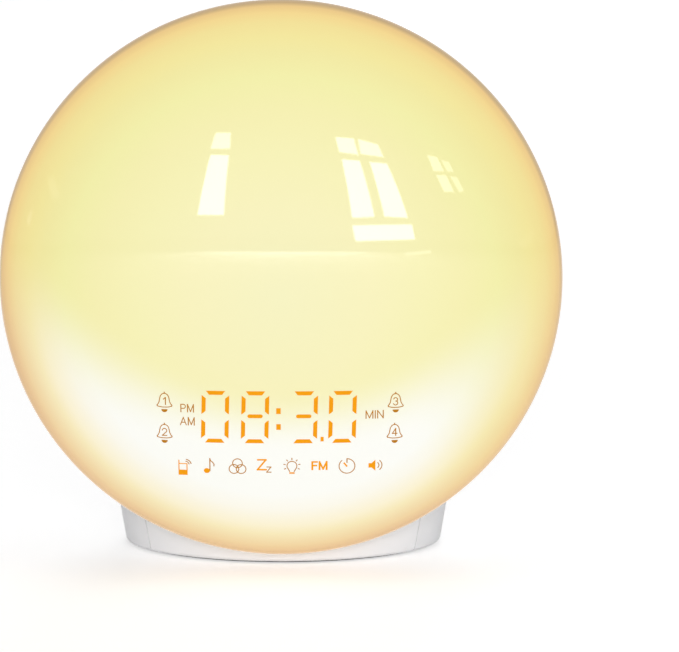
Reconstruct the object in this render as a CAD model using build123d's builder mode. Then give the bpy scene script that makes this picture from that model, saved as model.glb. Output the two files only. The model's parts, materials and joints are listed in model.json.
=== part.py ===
from build123d import *

# Sunrise alarm clock: a round light dome on a white globe that runs down into an oval foot.
#
# Frame: millimetres, +Z up, the dome faces -Y, origin under the middle of the bounding box.
# A depth is measured back from the plane of the dome's rim, so the dome itself is at negative
# depths. Sketches on front planes read x to the right and y up from the globe's axis.

import os
from math import acos, asin, cos, degrees, radians, sin, sqrt

# ---------------------------------------------------------------- driving dimensions

# Dome lens
lens_radius = 95.0
lens_bulge = 33.0
lens_wall = 2.6
gate_radius = 0.8
lip_step = 3.0
skirt_depth = 9.0
skirt_wall = 2.0
snap_height = 0.7
snap_lead = 0.9
snap_land = 0.6

# Globe: an ellipsoid of revolution cut off flat at the back
globe_reach = 82.0
globe_depth = 74.0
wall = 2.5
tongue_height = 3.0
parting_depth = 23.5
parting_reveal = 0.3
parting_tongue = 2.0

# Foot
lens_clearance = 6.0
foot_half_width = 55.0
foot_half_depth = 35.5
foot_front_depth = 8.0
foot_flare = 0.16
foot_back_lean = 0.23
foot_loft_height = 61.0
foot_front_lean = 0.016
foot_edge_height = 0.8
foot_edge_radius = 1.5
junction_radius = 5.0

# Base plate and rubber ring
plate_recess = 0.6
plate_thickness = 3.0
ring_inset = 3.5
ring_width = 3.5
ring_seat = 0.8
plate_post_height = 11.0
plate_post_radius = 3.4
front_post_offset = 12.0
back_post_offset = 36.0
rib_thickness = 2.0

# Fits and joins
slip_fit = 0.2
close_fit = 0.1
thread_fit = 0.05
weld = 0.5

# Light chamber
bulkhead_gap = 0.3
bulkhead_thickness = 2.0
board_thickness = 1.6
reflector_wall = 1.2
reflector_flare = 6.0
light_board_margin = 3.0
# Rings of diodes: how many, how far in from the light board's edge
light_rings = ((6, 54.0), (12, 30.0), (20, 6.0))
light_size = 3.5
light_height = 1.0
light_margin = 3.75
reflector_screw_inset = 16.0
reflector_screw_angles = (30.0, 90.0, 150.0)
panel_boss_radius = 3.0
panel_boss_height = 4.0

# Display: the shroud's middle above the dome's lowest point, and sizes and rises from that middle
shroud_rise = 47.7
digit_height = 18.5
digit_width = 9.2
digit_pitch = 13.2
colon_pitch = 16.2
digit_bar = 1.55
bar_gap = 0.5
digits_rise = 5.9
dot_size = 1.6
dot_rise = 2.8
sign_rise = -11.5
sign_pitch = 9.1
sign_width = 5.8
sign_height = 6.2
sign_count = 8
bell_offset = 38.4
bell_rises = (10.9, -0.1)
bell_width = 5.0
bell_height = 6.8
word_offset = 31.0
word_rises = (9.1, 4.4)
word_width = 5.2
word_height = 3.0
minute_width = 6.4
minute_rise = 6.9

# Display shroud and board
shroud_width = 86.0
shroud_height = 36.0
shroud_corner = 3.0
shroud_wall = 1.6
shroud_gap = 0.4
ear_offset = 4.0
ear_spread = 23.0
ear_radius = 4.0
ear_thickness = 2.5
display_board_lift = 9.6
display_screw_inset = 2.6
shroud_screw_length = 10.0
display_light_width = 1.2
display_light_depth = 0.8
display_light_height = 0.6
cable_width = 20.0
cable_thickness = 0.3
cable_slack = 2.0
cable_bend = 2.0

# Keys
key_depth = 16.8
key_width = 8.0
key_length = 16.0
snooze_length = 36.0
key_proud = 1.0
key_gap = 0.25
key_flange = 1.1
key_flange_wall = 1.2
key_stem_radius = 1.9
key_stem_reach = 2.2
key_edge = 0.5
key_pitch_angle = 13.2
key_group_angle = 8.0
keys_per_side = 4

# Tact switches
switch_width = 6.0
switch_height = 6.4
switch_axis_height = 3.7
switch_body = 3.5
plunger_radius = 1.7
plunger_reach = 1.6
plunger_seat = 1.6
plunger_bore = 2.6
plunger_fit = 0.08

# Inner boards
key_board_width = 17.0
key_board_margin = 1.0
key_board_drop = 31.5
key_post_angles = (-16.0, 22.0, 68.0, 112.0, 158.0, 196.0)
key_post_inset = 21.0
key_board_hole = 4.8
board_post_radius = 3.0
board_pilot_depth = 5.0
main_board_width = 100.0
main_board_height = 64.0
main_board_lift = 6.0
main_board_inset = 4.0
main_board_corner = 2.0
# Parts on the main board: x, y from the board's centre, width, height, thickness
chip_sizes = ((-14.0, 4.0, 14.0, 14.0, 1.4), (22.0, -14.0, 7.0, 5.0, 1.2), (2.0, 18.0, 5.0, 4.0, 1.0))
radio_inset = 15.0
radio_rise = 12.0
radio_board_size = (18.0, 20.0, 0.8)
radio_shield_size = (15.0, 14.0, 2.0)
capacitor_places = ((20.0, 16.0), (31.0, 16.0), (31.0, 5.0))
capacitor_radius = 4.0
capacitor_height = 10.0
socket_places = ((10.0, -25.0, 8.0), (30.0, -25.0, 12.0), (-20.0, -25.0, 12.0), (-20.0, 26.0, 10.0))
socket_size = (5.8, 7.0)
cable_socket_size = (22.0, 4.0, 2.5)
cable_socket_rise = 1.5

# Loudspeaker
gasket_thickness = 1.5
surround_thickness = 0.4
frame_thickness = 1.2
cone_radius = 19.4
flange_radius = 31.5
opening_radius = 22.2
speaker_screw_circle = 28.5
speaker_screw_length = 4.0
basket_spoke = 5.0
basket_spokes = 6
coil_radius = 8.0
coil_wall = 0.4
coil_gap = 0.4
magnet_radius = 16.5
magnet_height = 7.0
iron_thickness = 3.0
frame_height = 11.8
cone_clearance = 0.8
cone_height = 8.4
cone_wall = 0.5
cone_lip = 0.6
cap_edge_radius = 7.4
cap_height = 3.2
coil_end_depth = 50.0
roll_clearance = 1.0
roll_slope = 0.7
grille_hole_radius = 1.5
grille_pitch = 6.0
grille_rings = 3

# Connectors at the back of the foot
pocket_width = 46.0
pocket_height = 15.0
pocket_level = 14.6
pocket_corner = 2.0
pocket_floor_depth = 69.5
connector_drop = 4.5
connector_reach = 14.0
port_board_width = 44.0
port_board_reach = 14.0
port_screw_length = 4.5
port_screw_inset = 7.0
shelf_offset = 19.0
shelf_width = 5.0
shelf_thickness = 3.5
shelf_reach = 13.0
usb_offset = -8.5
usb_width = 13.1
usb_height = 5.7
usb_shell = 0.3
usb_depth = 11.0
usb_tongue = (11.1, 1.9, 8.4)
usb_tongue_rise = 0.9
jack_offset = 8.5
jack_width = 9.0
jack_height = 9.5
jack_hole_radius = 3.1
jack_hole_depth = 9.5
jack_pin_radius = 1.0
jack_pin_length = 8.5

# Coin cell in the base plate
cell_radius = 10.0
cell_height = 3.2
cell_gap = 0.4
cell_offset = -26.0
cell_shift = 3.0
cell_headroom = 1.2
bay_wall = 1.6
door_offset = -19.0
door_length = 38.0
door_width = 26.0
door_corner = 4.0
door_thickness = 1.6
door_screw_offset = -5.0
contact_width = 5.0

# Screws: shank radius, head radius, head height
case_screw = (1.5, 2.8, 2.0)
plate_screw = (1.25, 2.6, 1.6)
board_screw = (1.0, 2.2, 1.3)
case_screw_length = 12.0
plate_screw_length = 8.0
board_screw_length = 6.0
case_screw_inset = 22.0
case_screw_angles = (45.0, 135.0, 225.0, 315.0)
case_boss_radius = 4.2
well_radius = 5.2
well_floor = 3.0
head_gap = 0.4

# ---------------------------------------------------------------- derived values

globe_radius = lens_radius - lip_step
centre_height = lens_radius + lens_clearance
seat_radius = globe_radius - wall
skirt_radius = seat_radius - slip_fit
foot_back_depth = foot_front_depth + 2 * foot_half_depth
foot_back_rounding = foot_edge_radius * (foot_back_lean + sqrt(1 + foot_back_lean ** 2) - 1)
overall_depth = lens_bulge + max(foot_back_depth - foot_back_rounding, globe_depth)
rim_y = lens_bulge - overall_depth / 2

bulkhead_front = skirt_depth + bulkhead_gap
bulkhead_back = bulkhead_front + bulkhead_thickness
light_board_front = bulkhead_front - board_thickness
reflector_front = light_board_front - reflector_wall
key_board_front = key_depth + switch_axis_height
key_board_back = key_board_front + board_thickness
key_ring_reach = key_width / 2 + key_flange + weld
key_post_circle = globe_radius - key_post_inset
case_screw_circle = globe_radius - case_screw_inset
radio_place = (radio_inset - main_board_width / 2, radio_rise)
shroud_drop = lens_radius - shroud_rise
digits_drop = shroud_drop - digits_rise
sign_drop = shroud_drop - sign_rise
bell_drops = [shroud_drop - rise for rise in bell_rises]
word_drops = [shroud_drop - rise for rise in word_rises]
minute_drop = shroud_drop - minute_rise
back_inner_depth = globe_depth - wall
pocket_wall_depth = pocket_floor_depth - wall

plate_bottom = foot_edge_height + plate_recess
plate_top = plate_bottom + plate_thickness
connector_level = pocket_level - connector_drop
port_board_bottom = connector_level - board_thickness

front = Plane(origin=(0, rim_y, centre_height), x_dir=(1, 0, 0), z_dir=(0, -1, 0))
half_section = Plane(origin=(0, rim_y, centre_height), x_dir=(1, 0, 0), z_dir=(0, 0, -1))
globe_axis = Axis((0, rim_y, centre_height), (0, -1, 0))


def at_depth(depth):
    """Front plane at a depth behind the rim."""
    return front.offset(-depth)


def globe_radius_at(depth, inset=0.0):
    """Radius of the globe's surface, moved in by inset, at a depth."""
    return (globe_radius - inset) * sqrt(1 - (depth / (globe_reach - inset)) ** 2)


def foot_half_width_at(level):
    """Half width of the foot at a level."""
    return foot_half_width + foot_flare * (level - foot_edge_height)


def foot_depth_at(x, level, inset, side):
    """Depth of the foot's wall at x and a level: side is -1 for the front, 1 for the back."""
    rise = level - foot_edge_height
    half_width = foot_half_width_at(level) - inset
    front_depth = foot_front_depth + foot_front_lean * rise
    back_depth = foot_back_depth - foot_back_lean * rise
    half_depth = (back_depth - front_depth) / 2 - inset
    return (front_depth + back_depth) / 2 + side * half_depth * sqrt(1 - (x / half_width) ** 2)


def polar(radius, angle):
    """Point at a radius and an angle from the right, in a front plane."""
    return (radius * cos(radians(angle)), radius * sin(radians(angle)))


def export(builder, name):
    """Label a finished piece and write its STEP file."""
    builder.part.label = name
    export_step(builder.part, f"parts/{name}.step")


os.makedirs("parts", exist_ok=True)

# ---------------------------------------------------------------- shared solids


def globe_solid(inset, mode=Mode.ADD):
    """The globe moved in by inset, from the tongue inside the lens to the flat back."""
    radius = globe_radius - inset
    reach = globe_reach - inset
    depth = globe_depth - inset
    back_angle = degrees(asin(depth / reach))
    with BuildSketch(half_section) as profile:
        with BuildLine():
            side = EllipticalCenterArc((0, 0), radius, reach, start_angle=-back_angle, arc_size=back_angle)
            Polyline(side @ 1, (radius, tongue_height), (0, tongue_height), (0, -depth), side @ 0)
        make_face()
    revolve(profile.sketch, axis=globe_axis, mode=mode)


def foot_section(level, inset):
    """Outline of the foot at a level, moved in by inset."""
    front_depth = foot_depth_at(0, level, inset, -1)
    back_depth = foot_depth_at(0, level, inset, 1)
    with BuildSketch(Plane.XY.offset(level)) as section:
        with Locations((0, rim_y + (front_depth + back_depth) / 2)):
            Ellipse(foot_half_width_at(level) - inset, (back_depth - front_depth) / 2)
    return section.sketch


def foot_solid(inset, mode=Mode.ADD):
    """The foot moved in by inset, from its edge up into the globe."""
    levels = (foot_edge_height, foot_edge_height + foot_loft_height)
    loft([foot_section(level, inset) for level in levels], mode=mode)


def key_ring(outer_offset, inner_offset):
    """Conical ring under the keys, a chord of the globe, between two offsets from its surface."""
    near, far = key_depth - key_ring_reach, key_depth + key_ring_reach
    corners = [(globe_radius_at(depth, -offset), -depth)
               for offset, depths in ((outer_offset, (near, far)), (inner_offset, (far, near)))
               for depth in depths]
    with BuildSketch(half_section) as profile:
        with BuildLine():
            Polyline(*corners, close=True)
        make_face()
    return revolve(profile.sketch, axis=globe_axis, mode=Mode.PRIVATE)


def turned(points, mode=Mode.ADD):
    """Solid turned about the globe's axis from a closed outline of (radius, depth) points."""
    with BuildSketch(half_section) as profile:
        with BuildLine():
            Polyline(*[(radius, -depth) for radius, depth in points], close=True)
        make_face()
    revolve(profile.sketch, axis=globe_axis, mode=mode)


def round_bars(plane, points, radius, length, mode=Mode.ADD):
    """Round posts, shanks or holes that start on a plane and run along its normal."""
    with BuildSketch(plane) as section:
        with Locations(*points):
            Circle(radius)
    extrude(section.sketch, amount=length, mode=mode)


def screws(plane, points, sizes, length, side=1):
    """Pan-head screws: the heads stand on a plane, before it or with side -1 behind it."""
    shank_radius, head_radius, head_height = sizes
    round_bars(plane, points, head_radius, side * head_height)
    round_bars(plane, points, shank_radius, -side * length)


# Envelope of both housings, with the flare between globe and foot and the rounded bottom edge
with BuildPart() as envelope:
    globe_solid(0)
    foot_solid(0)
    junction = [edge for edge in envelope.edges(Select.LAST)
                if edge.length > foot_half_width and edge.bounding_box().min.Z > foot_edge_height + 1]
    fillet(junction, junction_radius)
    bottom_edge = envelope.faces().sort_by(Axis.Z)[0].edges()
    fillet(bottom_edge, foot_edge_radius)

with BuildPart() as shell:
    add(envelope.part)
    globe_solid(wall, mode=Mode.SUBTRACT)
    foot_solid(wall, mode=Mode.SUBTRACT)
    round_bars(at_depth(bulkhead_back), [(0, 0)], seat_radius, bulkhead_back + tongue_height, Mode.SUBTRACT)

# ---------------------------------------------------------------- dome lens

inner_radius = lens_radius - lens_wall
inner_bulge = lens_bulge - lens_wall
skirt_inner_radius = skirt_radius - skirt_wall
skirt_top = inner_bulge * sqrt(1 - (skirt_inner_radius / inner_radius) ** 2)
groove_radius = globe_radius + slip_fit
snap_radius = skirt_radius + snap_height
snap_back = skirt_depth - snap_lead
snap_front = snap_back - snap_land


def lens_inside(gap, mode):
    """Space inside the dome, gap clear of its inner surface and open towards the back."""
    with BuildSketch(half_section) as profile:
        with BuildLine():
            arc = EllipticalCenterArc((0, 0), inner_radius - gap, inner_bulge - gap,
                                      arc_size=degrees(acos(gate_radius / inner_radius)))
            Polyline(arc @ 1, (0, (arc @ 1).Y), (0, -bulkhead_back), (inner_radius - gap, -bulkhead_back),
                     arc @ 0)
        make_face()
    revolve(profile.sketch, axis=globe_axis, mode=mode)


# A small flat at the dome's pole, inside and out, is where the mould's gate sits
with BuildPart() as dome_lens:
    with BuildSketch(half_section):
        with BuildLine():
            inner_start = degrees(asin(skirt_top / inner_bulge))
            outer = EllipticalCenterArc((0, 0), lens_radius, lens_bulge,
                                        arc_size=degrees(acos(gate_radius / lens_radius)))
            inner = EllipticalCenterArc((0, 0), inner_radius, inner_bulge, start_angle=inner_start,
                                        arc_size=degrees(acos(gate_radius / inner_radius)) - inner_start)
            lip = CenterArc((groove_radius, 0), lens_radius - groove_radius, -90, 90)
            Polyline(outer @ 1, (0, (outer @ 1).Y), (0, (inner @ 1).Y), inner @ 1)
            Polyline(inner @ 0, (skirt_inner_radius, -skirt_depth), (skirt_radius, -skirt_depth),
                     (snap_radius, -snap_back), (snap_radius, -snap_front),
                     (skirt_radius, -snap_front + snap_height),
                     (skirt_radius, tongue_height), (groove_radius, tongue_height), lip @ 0)
        make_face()
    revolve(axis=globe_axis)
export(dome_lens, "dome_lens")

# ---------------------------------------------------------------- keys and their switches

flange_offset = -wall - slip_fit
flange_inner_offset = flange_offset - key_flange_wall
key_inner_radius = globe_radius_at(key_depth, -flange_inner_offset)
stem_end_radius = key_inner_radius - key_stem_reach
switch_face_radius = stem_end_radius - plunger_reach
side_angles = [key_group_angle + key_pitch_angle * (step - (keys_per_side - 1) / 2)
               for step in range(keys_per_side)]
key_table = {"snooze_bar": (90.0, snooze_length)}
for number, side_angle in enumerate(reversed(side_angles), start=1):
    key_table[f"key_right_{number}"] = (side_angle, key_length)
    key_table[f"key_left_{number}"] = (180.0 - side_angle, key_length)


def key_plane(angle):
    """Plane across a key's travel through the globe's axis, x along the rim, y to the back."""
    outward = (cos(radians(angle)), 0, sin(radians(angle)))
    along = (sin(radians(angle)), 0, -cos(radians(angle)))
    return Plane(origin=(0, rim_y + key_depth, centre_height), x_dir=along, z_dir=outward)


def key_prism(plane, length, margin, mode=Mode.ADD):
    """Slot-shaped prism round a key, from the end of its stem out past the lens."""
    with BuildSketch(plane.offset(stem_end_radius)) as section:
        SlotOverall(length + 2 * margin, key_width + 2 * margin)
    extrude(section.sketch, amount=lens_radius - stem_end_radius, mode=mode)


cap_ring = key_ring(key_proud, flange_inner_offset)
flange_ring = key_ring(flange_offset, flange_inner_offset)

for key_name, (angle, length) in key_table.items():
    plane = key_plane(angle)
    with BuildPart() as flange:
        key_prism(plane, length, key_flange)
        add(flange_ring, mode=Mode.INTERSECT)
    with BuildPart() as key:
        key_prism(plane, length, 0)
        add(cap_ring, mode=Mode.INTERSECT)
        cap_face = key.faces().sort_by(Axis(plane.origin, plane.z_dir))[-1]
        chamfer(cap_face.edges(), key_edge)
        add(flange.part)
        round_bars(plane.offset(stem_end_radius), [(0, 0)], key_stem_radius,
                   key_stem_reach + key_flange_wall / 2)
    export(key, key_name)
    with BuildPart() as plunger:
        round_bars(plane.offset(stem_end_radius), [(0, 0)], plunger_radius, -plunger_reach - plunger_seat)
    export(plunger, key_name.replace("snooze_bar", "key_snooze").replace("key", "plunger"))

with BuildPart() as key_switches:
    for angle, length in key_table.values():
        plane = key_plane(angle)
        with BuildSketch(plane.offset(switch_face_radius)) as body:
            with Locations((0, switch_axis_height - switch_height / 2)):
                Rectangle(switch_width, switch_height)
        extrude(body.sketch, amount=-switch_body)
        round_bars(plane.offset(switch_face_radius), [(0, 0)], plunger_radius + plunger_fit,
                   -plunger_bore, Mode.SUBTRACT)
export(key_switches, "key_switches")

# ---------------------------------------------------------------- places of screws and posts

reflector_rim = skirt_inner_radius - bulkhead_gap
reflector_floor = reflector_rim - reflector_flare
light_board_radius = reflector_floor - light_board_margin
reflector_screw_circle = light_board_radius - reflector_screw_inset
case_points = [polar(case_screw_circle, angle) for angle in case_screw_angles]
key_post_points = [polar(key_post_circle, angle) for angle in key_post_angles]
main_post_points = [(side * (main_board_width / 2 - main_board_inset),
                     main_board_lift + rise * (main_board_height / 2 - main_board_inset))
                    for side in (-1, 1) for rise in (-1, 1)]
reflector_points = [polar(reflector_screw_circle, angle) for angle in reflector_screw_angles]
ear_points = [(side * (shroud_width / 2 + ear_offset), -shroud_drop + rise * ear_spread / 2)
              for side in (-1, 1) for rise in (-1, 1)]
panel_points = reflector_points + ear_points
front_post_y = rim_y + foot_depth_at(front_post_offset, plate_bottom, ring_inset + ring_width, -1)
front_post_y += plate_screw[1] + head_gap
back_post_y = rim_y + foot_depth_at(back_post_offset, plate_bottom, ring_inset + ring_width, 1)
back_post_y -= plate_screw[1] + head_gap
front_posts = [(side * front_post_offset, front_post_y) for side in (-1, 1)]
back_posts = [(side * back_post_offset, back_post_y) for side in (-1, 1)]
cable_slot = (cable_width + 2 * cable_slack, 2 * cable_slack)

# ---------------------------------------------------------------- housings


def between(near, far, mode=Mode.INTERSECT):
    """Keep, cut or add everything between two depths."""
    with BuildSketch(at_depth(far)) as section:
        Rectangle(3 * lens_radius, 3 * lens_radius)
    extrude(section.sketch, amount=far - near, mode=mode)


def core_slice(inset, near, far):
    """Slice of the space inside the envelope moved in by inset, between two depths."""
    with BuildPart() as core:
        globe_solid(inset)
        foot_solid(inset)
        between(near, far)
    return core.part


def foot_posts(points, wall_y):
    """Screw posts that stand on the base plate, each with a rib to the foot's wall."""
    with BuildPart() as posts:
        for x, y in points:
            with BuildSketch(Plane.XY.offset(plate_top)) as section:
                with Locations((x, y)):
                    Circle(plate_post_radius)
                with Locations((x, (y + wall_y) / 2)):
                    Rectangle(rib_thickness, abs(y - wall_y))
            extrude(section.sketch, amount=plate_post_height)
        add(envelope.part, mode=Mode.INTERSECT)
    return posts.part


def key_openings():
    """Cut the wall where the keys come through."""
    for angle, length in key_table.values():
        key_prism(key_plane(angle), length, key_gap, Mode.SUBTRACT)


parting_end = parting_depth + parting_tongue
with BuildPart() as parting_step:
    between(parting_depth, parting_end + weld, Mode.ADD)
    add(core_slice(wall / 2 + close_fit / 2, parting_depth - weld, parting_end + 2 * weld), mode=Mode.SUBTRACT)

with BuildPart() as front_housing:
    add(shell.part)
    between(-lens_bulge, parting_end)
    add(parting_step.part, mode=Mode.SUBTRACT)
    turned([(seat_radius - weld, snap_front - snap_radius + seat_radius - weld - 2 * slip_fit),
            (snap_radius + slip_fit, snap_front - slip_fit),
            (snap_radius + slip_fit, skirt_depth), (seat_radius - weld, skirt_depth)], Mode.SUBTRACT)
    round_bars(at_depth(bulkhead_back), [(0, 0)], seat_radius + weld, bulkhead_thickness)
    key_openings()
    round_bars(at_depth(parting_depth), case_points, case_boss_radius, parting_depth - bulkhead_front)
    board_posts = key_post_points + main_post_points
    round_bars(at_depth(key_board_front), board_posts, board_post_radius, key_board_front - bulkhead_front)
    round_bars(at_depth(bulkhead_back + panel_boss_height), panel_points, panel_boss_radius,
               panel_boss_height + bulkhead_thickness)
    add(foot_posts(front_posts, rim_y + foot_front_depth + wall / 2))
    round_bars(at_depth(parting_depth), case_points, case_screw[0] + thread_fit,
               case_screw_length - well_floor + weld, Mode.SUBTRACT)
    round_bars(at_depth(key_board_front), board_posts, board_screw[0] + thread_fit,
               board_pilot_depth, Mode.SUBTRACT)
    round_bars(at_depth(bulkhead_front), panel_points, board_screw[0] + thread_fit,
               -board_pilot_depth, Mode.SUBTRACT)
    round_bars(Plane.XY.offset(plate_top), front_posts, plate_screw[0] + thread_fit,
               plate_screw_length, Mode.SUBTRACT)
    with BuildSketch(at_depth(bulkhead_back)):
        with Locations((0, -shroud_drop)):
            SlotOverall(*cable_slot)
    extrude(amount=bulkhead_thickness, mode=Mode.SUBTRACT)
export(front_housing, "front_housing")

with BuildPart() as wells:
    round_bars(at_depth(globe_depth), case_points, well_radius, globe_depth - parting_depth)
    add(envelope.part, mode=Mode.INTERSECT)

pocket_drop = pocket_level - centre_height
with BuildPart() as pocket_frame:
    with BuildSketch(at_depth(foot_back_depth)):
        with Locations((0, pocket_drop)):
            RectangleRounded(pocket_width + 2 * wall, pocket_height + 2 * wall, pocket_corner + wall)
    extrude(amount=foot_back_depth - pocket_wall_depth)
    add(envelope.part, mode=Mode.INTERSECT)

with BuildPart() as shelves:
    with BuildSketch(Plane.XY.offset(port_board_bottom)):
        for side in (-1, 1):
            with Locations((side * shelf_offset, rim_y + pocket_wall_depth - (shelf_reach - weld) / 2)):
                Rectangle(shelf_width, shelf_reach + weld)
    extrude(amount=-shelf_thickness)

speaker_face_depth = back_inner_depth - gasket_thickness
speaker_points = [polar(speaker_screw_circle, angle) for angle in case_screw_angles]
flange_back_depth = speaker_face_depth - surround_thickness
usb_centre = (usb_offset, connector_level + usb_height / 2 - centre_height)
jack_centre = (jack_offset, connector_level + jack_height / 2 - centre_height)
port_points = [(side * shelf_offset, rim_y + pocket_wall_depth - port_screw_inset) for side in (-1, 1)]

with BuildPart() as rear_housing:
    add(shell.part)
    between(parting_depth + parting_reveal, 2 * globe_depth)
    add(core_slice(wall / 2 - close_fit / 2, parting_depth - weld, parting_end), mode=Mode.SUBTRACT)
    add(wells.part)
    add(pocket_frame.part)
    add(shelves.part)
    add(foot_posts(back_posts, rim_y + foot_back_depth))
    round_bars(at_depth(back_inner_depth + weld), speaker_points, board_post_radius,
               back_inner_depth + weld - flange_back_depth)
    round_bars(at_depth(foot_back_depth), case_points, case_screw[1] + head_gap,
               foot_back_depth - parting_depth - well_floor, Mode.SUBTRACT)
    round_bars(at_depth(parting_depth + well_floor + weld), case_points, case_screw[0] + close_fit,
               well_floor + 2 * weld, Mode.SUBTRACT)
    round_bars(at_depth(flange_back_depth), speaker_points, board_screw[0] + thread_fit,
               flange_back_depth - back_inner_depth - wall / 2, Mode.SUBTRACT)
    round_bars(Plane.XY.offset(plate_top), back_posts, plate_screw[0] + thread_fit,
               plate_screw_length, Mode.SUBTRACT)
    round_bars(Plane.XY.offset(port_board_bottom), port_points, board_screw[0] + thread_fit,
               -shelf_thickness, Mode.SUBTRACT)
    with BuildSketch(at_depth(foot_back_depth)):
        with Locations((0, pocket_drop)):
            RectangleRounded(pocket_width, pocket_height, pocket_corner)
    extrude(amount=foot_back_depth - pocket_floor_depth, mode=Mode.SUBTRACT)
    with BuildSketch(at_depth(pocket_floor_depth)):
        with Locations(usb_centre):
            Rectangle(usb_width + 2 * close_fit, usb_height + 2 * close_fit)
        with Locations(jack_centre):
            Rectangle(jack_width + 2 * close_fit, jack_height + 2 * close_fit)
    extrude(amount=wall, mode=Mode.SUBTRACT)
    with BuildSketch(at_depth(globe_depth)):
        Circle(grille_hole_radius)
        for ring in range(1, grille_rings + 1):
            with PolarLocations(ring * grille_pitch, 6 * ring):
                Circle(grille_hole_radius)
    extrude(amount=wall, mode=Mode.SUBTRACT)
export(rear_housing, "rear_housing")

# ---------------------------------------------------------------- base plate, ring and coin cell

plate_posts = front_posts + back_posts
foot_y = rim_y + foot_front_depth + foot_half_depth
cell_y = foot_y - cell_shift
door_top = plate_bottom + door_thickness
cell_top = door_top + cell_height
bay_roof = cell_top + cell_headroom
bay_radius = cell_radius + cell_gap


def ring_outline(inset):
    """Ellipse of the foot's underside moved in by inset."""
    Ellipse(foot_half_width - inset, foot_half_depth - inset)


with BuildPart() as base_plate:
    loft([foot_section(level, wall + slip_fit) for level in (plate_bottom, plate_top)])
    with BuildSketch(Plane.XY.offset(plate_bottom)):
        with Locations((cell_offset, cell_y)):
            Circle(bay_radius + bay_wall)
    extrude(amount=bay_roof + bay_wall - plate_bottom)
    with BuildSketch(Plane.XY.offset(plate_bottom)):
        with Locations((door_screw_offset, cell_y)):
            Circle(board_post_radius)
    extrude(amount=board_pilot_depth + door_thickness + bay_wall)
    with BuildSketch(Plane.XY.offset(plate_bottom)):
        with Locations((0, foot_y)):
            ring_outline(ring_inset)
            Ellipse(foot_half_width - ring_inset - ring_width,
                    foot_half_depth - ring_inset - ring_width, mode=Mode.SUBTRACT)
    extrude(amount=ring_seat, mode=Mode.SUBTRACT)
    with BuildSketch(Plane.XY.offset(plate_bottom)):
        with Locations((door_offset, cell_y)):
            RectangleRounded(door_length + 2 * slip_fit, door_width + 2 * slip_fit, door_corner + slip_fit)
    extrude(amount=door_thickness, mode=Mode.SUBTRACT)
    with BuildSketch(Plane.XY.offset(door_top)):
        with Locations((cell_offset, cell_y)):
            Circle(bay_radius)
    extrude(amount=bay_roof - door_top, mode=Mode.SUBTRACT)
    round_bars(Plane.XY.offset(door_top), [(door_screw_offset, cell_y)], board_screw[0] + thread_fit,
               board_pilot_depth, Mode.SUBTRACT)
    round_bars(Plane.XY.offset(plate_bottom), plate_posts, plate_screw[1] + head_gap,
               plate_screw[2] + close_fit, Mode.SUBTRACT)
    round_bars(Plane.XY.offset(plate_bottom), plate_posts, plate_screw[0] + close_fit,
               plate_thickness, Mode.SUBTRACT)
export(base_plate, "base_plate")

with BuildPart() as foot_ring:
    with BuildSketch(Plane.XY):
        with Locations((0, foot_y)):
            ring_outline(ring_inset + close_fit)
            Ellipse(foot_half_width - ring_inset - ring_width + close_fit,
                    foot_half_depth - ring_inset - ring_width + close_fit, mode=Mode.SUBTRACT)
    extrude(amount=plate_bottom + ring_seat)
export(foot_ring, "foot_ring")

with BuildPart() as battery_door:
    with BuildSketch(Plane.XY.offset(plate_bottom)):
        with Locations((door_offset, cell_y)):
            RectangleRounded(door_length, door_width, door_corner)
    extrude(amount=door_thickness)
    round_bars(Plane.XY.offset(plate_bottom), [(door_screw_offset, cell_y)],
               board_screw[1] + head_gap, door_thickness / 2, Mode.SUBTRACT)
    round_bars(Plane.XY.offset(plate_bottom), [(door_screw_offset, cell_y)],
               board_screw[0] + close_fit, door_thickness, Mode.SUBTRACT)
export(battery_door, "battery_door")

with BuildPart() as door_screw:
    door_screw_sizes = (board_screw[0], board_screw[1], door_thickness / 2)
    screws(Plane.XY.offset(plate_bottom + door_thickness / 2), [(door_screw_offset, cell_y)],
           door_screw_sizes, board_screw_length - bay_wall, side=-1)
export(door_screw, "door_screw")

with BuildPart() as coin_cell:
    round_bars(Plane.XY.offset(door_top), [(cell_offset, cell_y)], cell_radius, cell_height)
    chamfer(coin_cell.faces().sort_by(Axis.Z)[0].edges(), cell_headroom / 3)
export(coin_cell, "coin_cell")

with BuildPart() as battery_contacts:
    with BuildSketch(Plane.XY.offset(bay_roof)):
        with Locations((cell_offset, cell_y)):
            SlotOverall(bay_radius + contact_width, contact_width)
    extrude(amount=-cell_headroom / 3)
    round_bars(Plane.XY.offset(cell_top), [(cell_offset, cell_y)], contact_width / 4, cell_headroom)
    with BuildSketch(Plane.XY.offset(door_top + cell_headroom / 2)):
        with Locations((cell_offset, cell_y)):
            Circle(bay_radius)
            Circle(cell_radius, mode=Mode.SUBTRACT)
        with Locations((cell_offset - bay_radius, cell_y)):
            Rectangle(bay_radius, contact_width, mode=Mode.INTERSECT)
    extrude(amount=cell_height - cell_headroom / 2)
export(battery_contacts, "battery_contacts")

with BuildPart() as base_screws:
    screws(Plane.XY.offset(plate_bottom + plate_screw[2] + close_fit), plate_posts, plate_screw,
           plate_screw_length, side=-1)
export(base_screws, "base_screws")

# ---------------------------------------------------------------- light chamber

light_places = [polar(light_board_radius - inset, 90 + 360 * step / count)
                for count, inset in light_rings for step in range(count)]
light_places = [(x, y) for x, y in light_places
                if abs(x) > shroud_width / 2 + light_margin
                or abs(y + shroud_drop) > shroud_height / 2 + light_margin]

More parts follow.
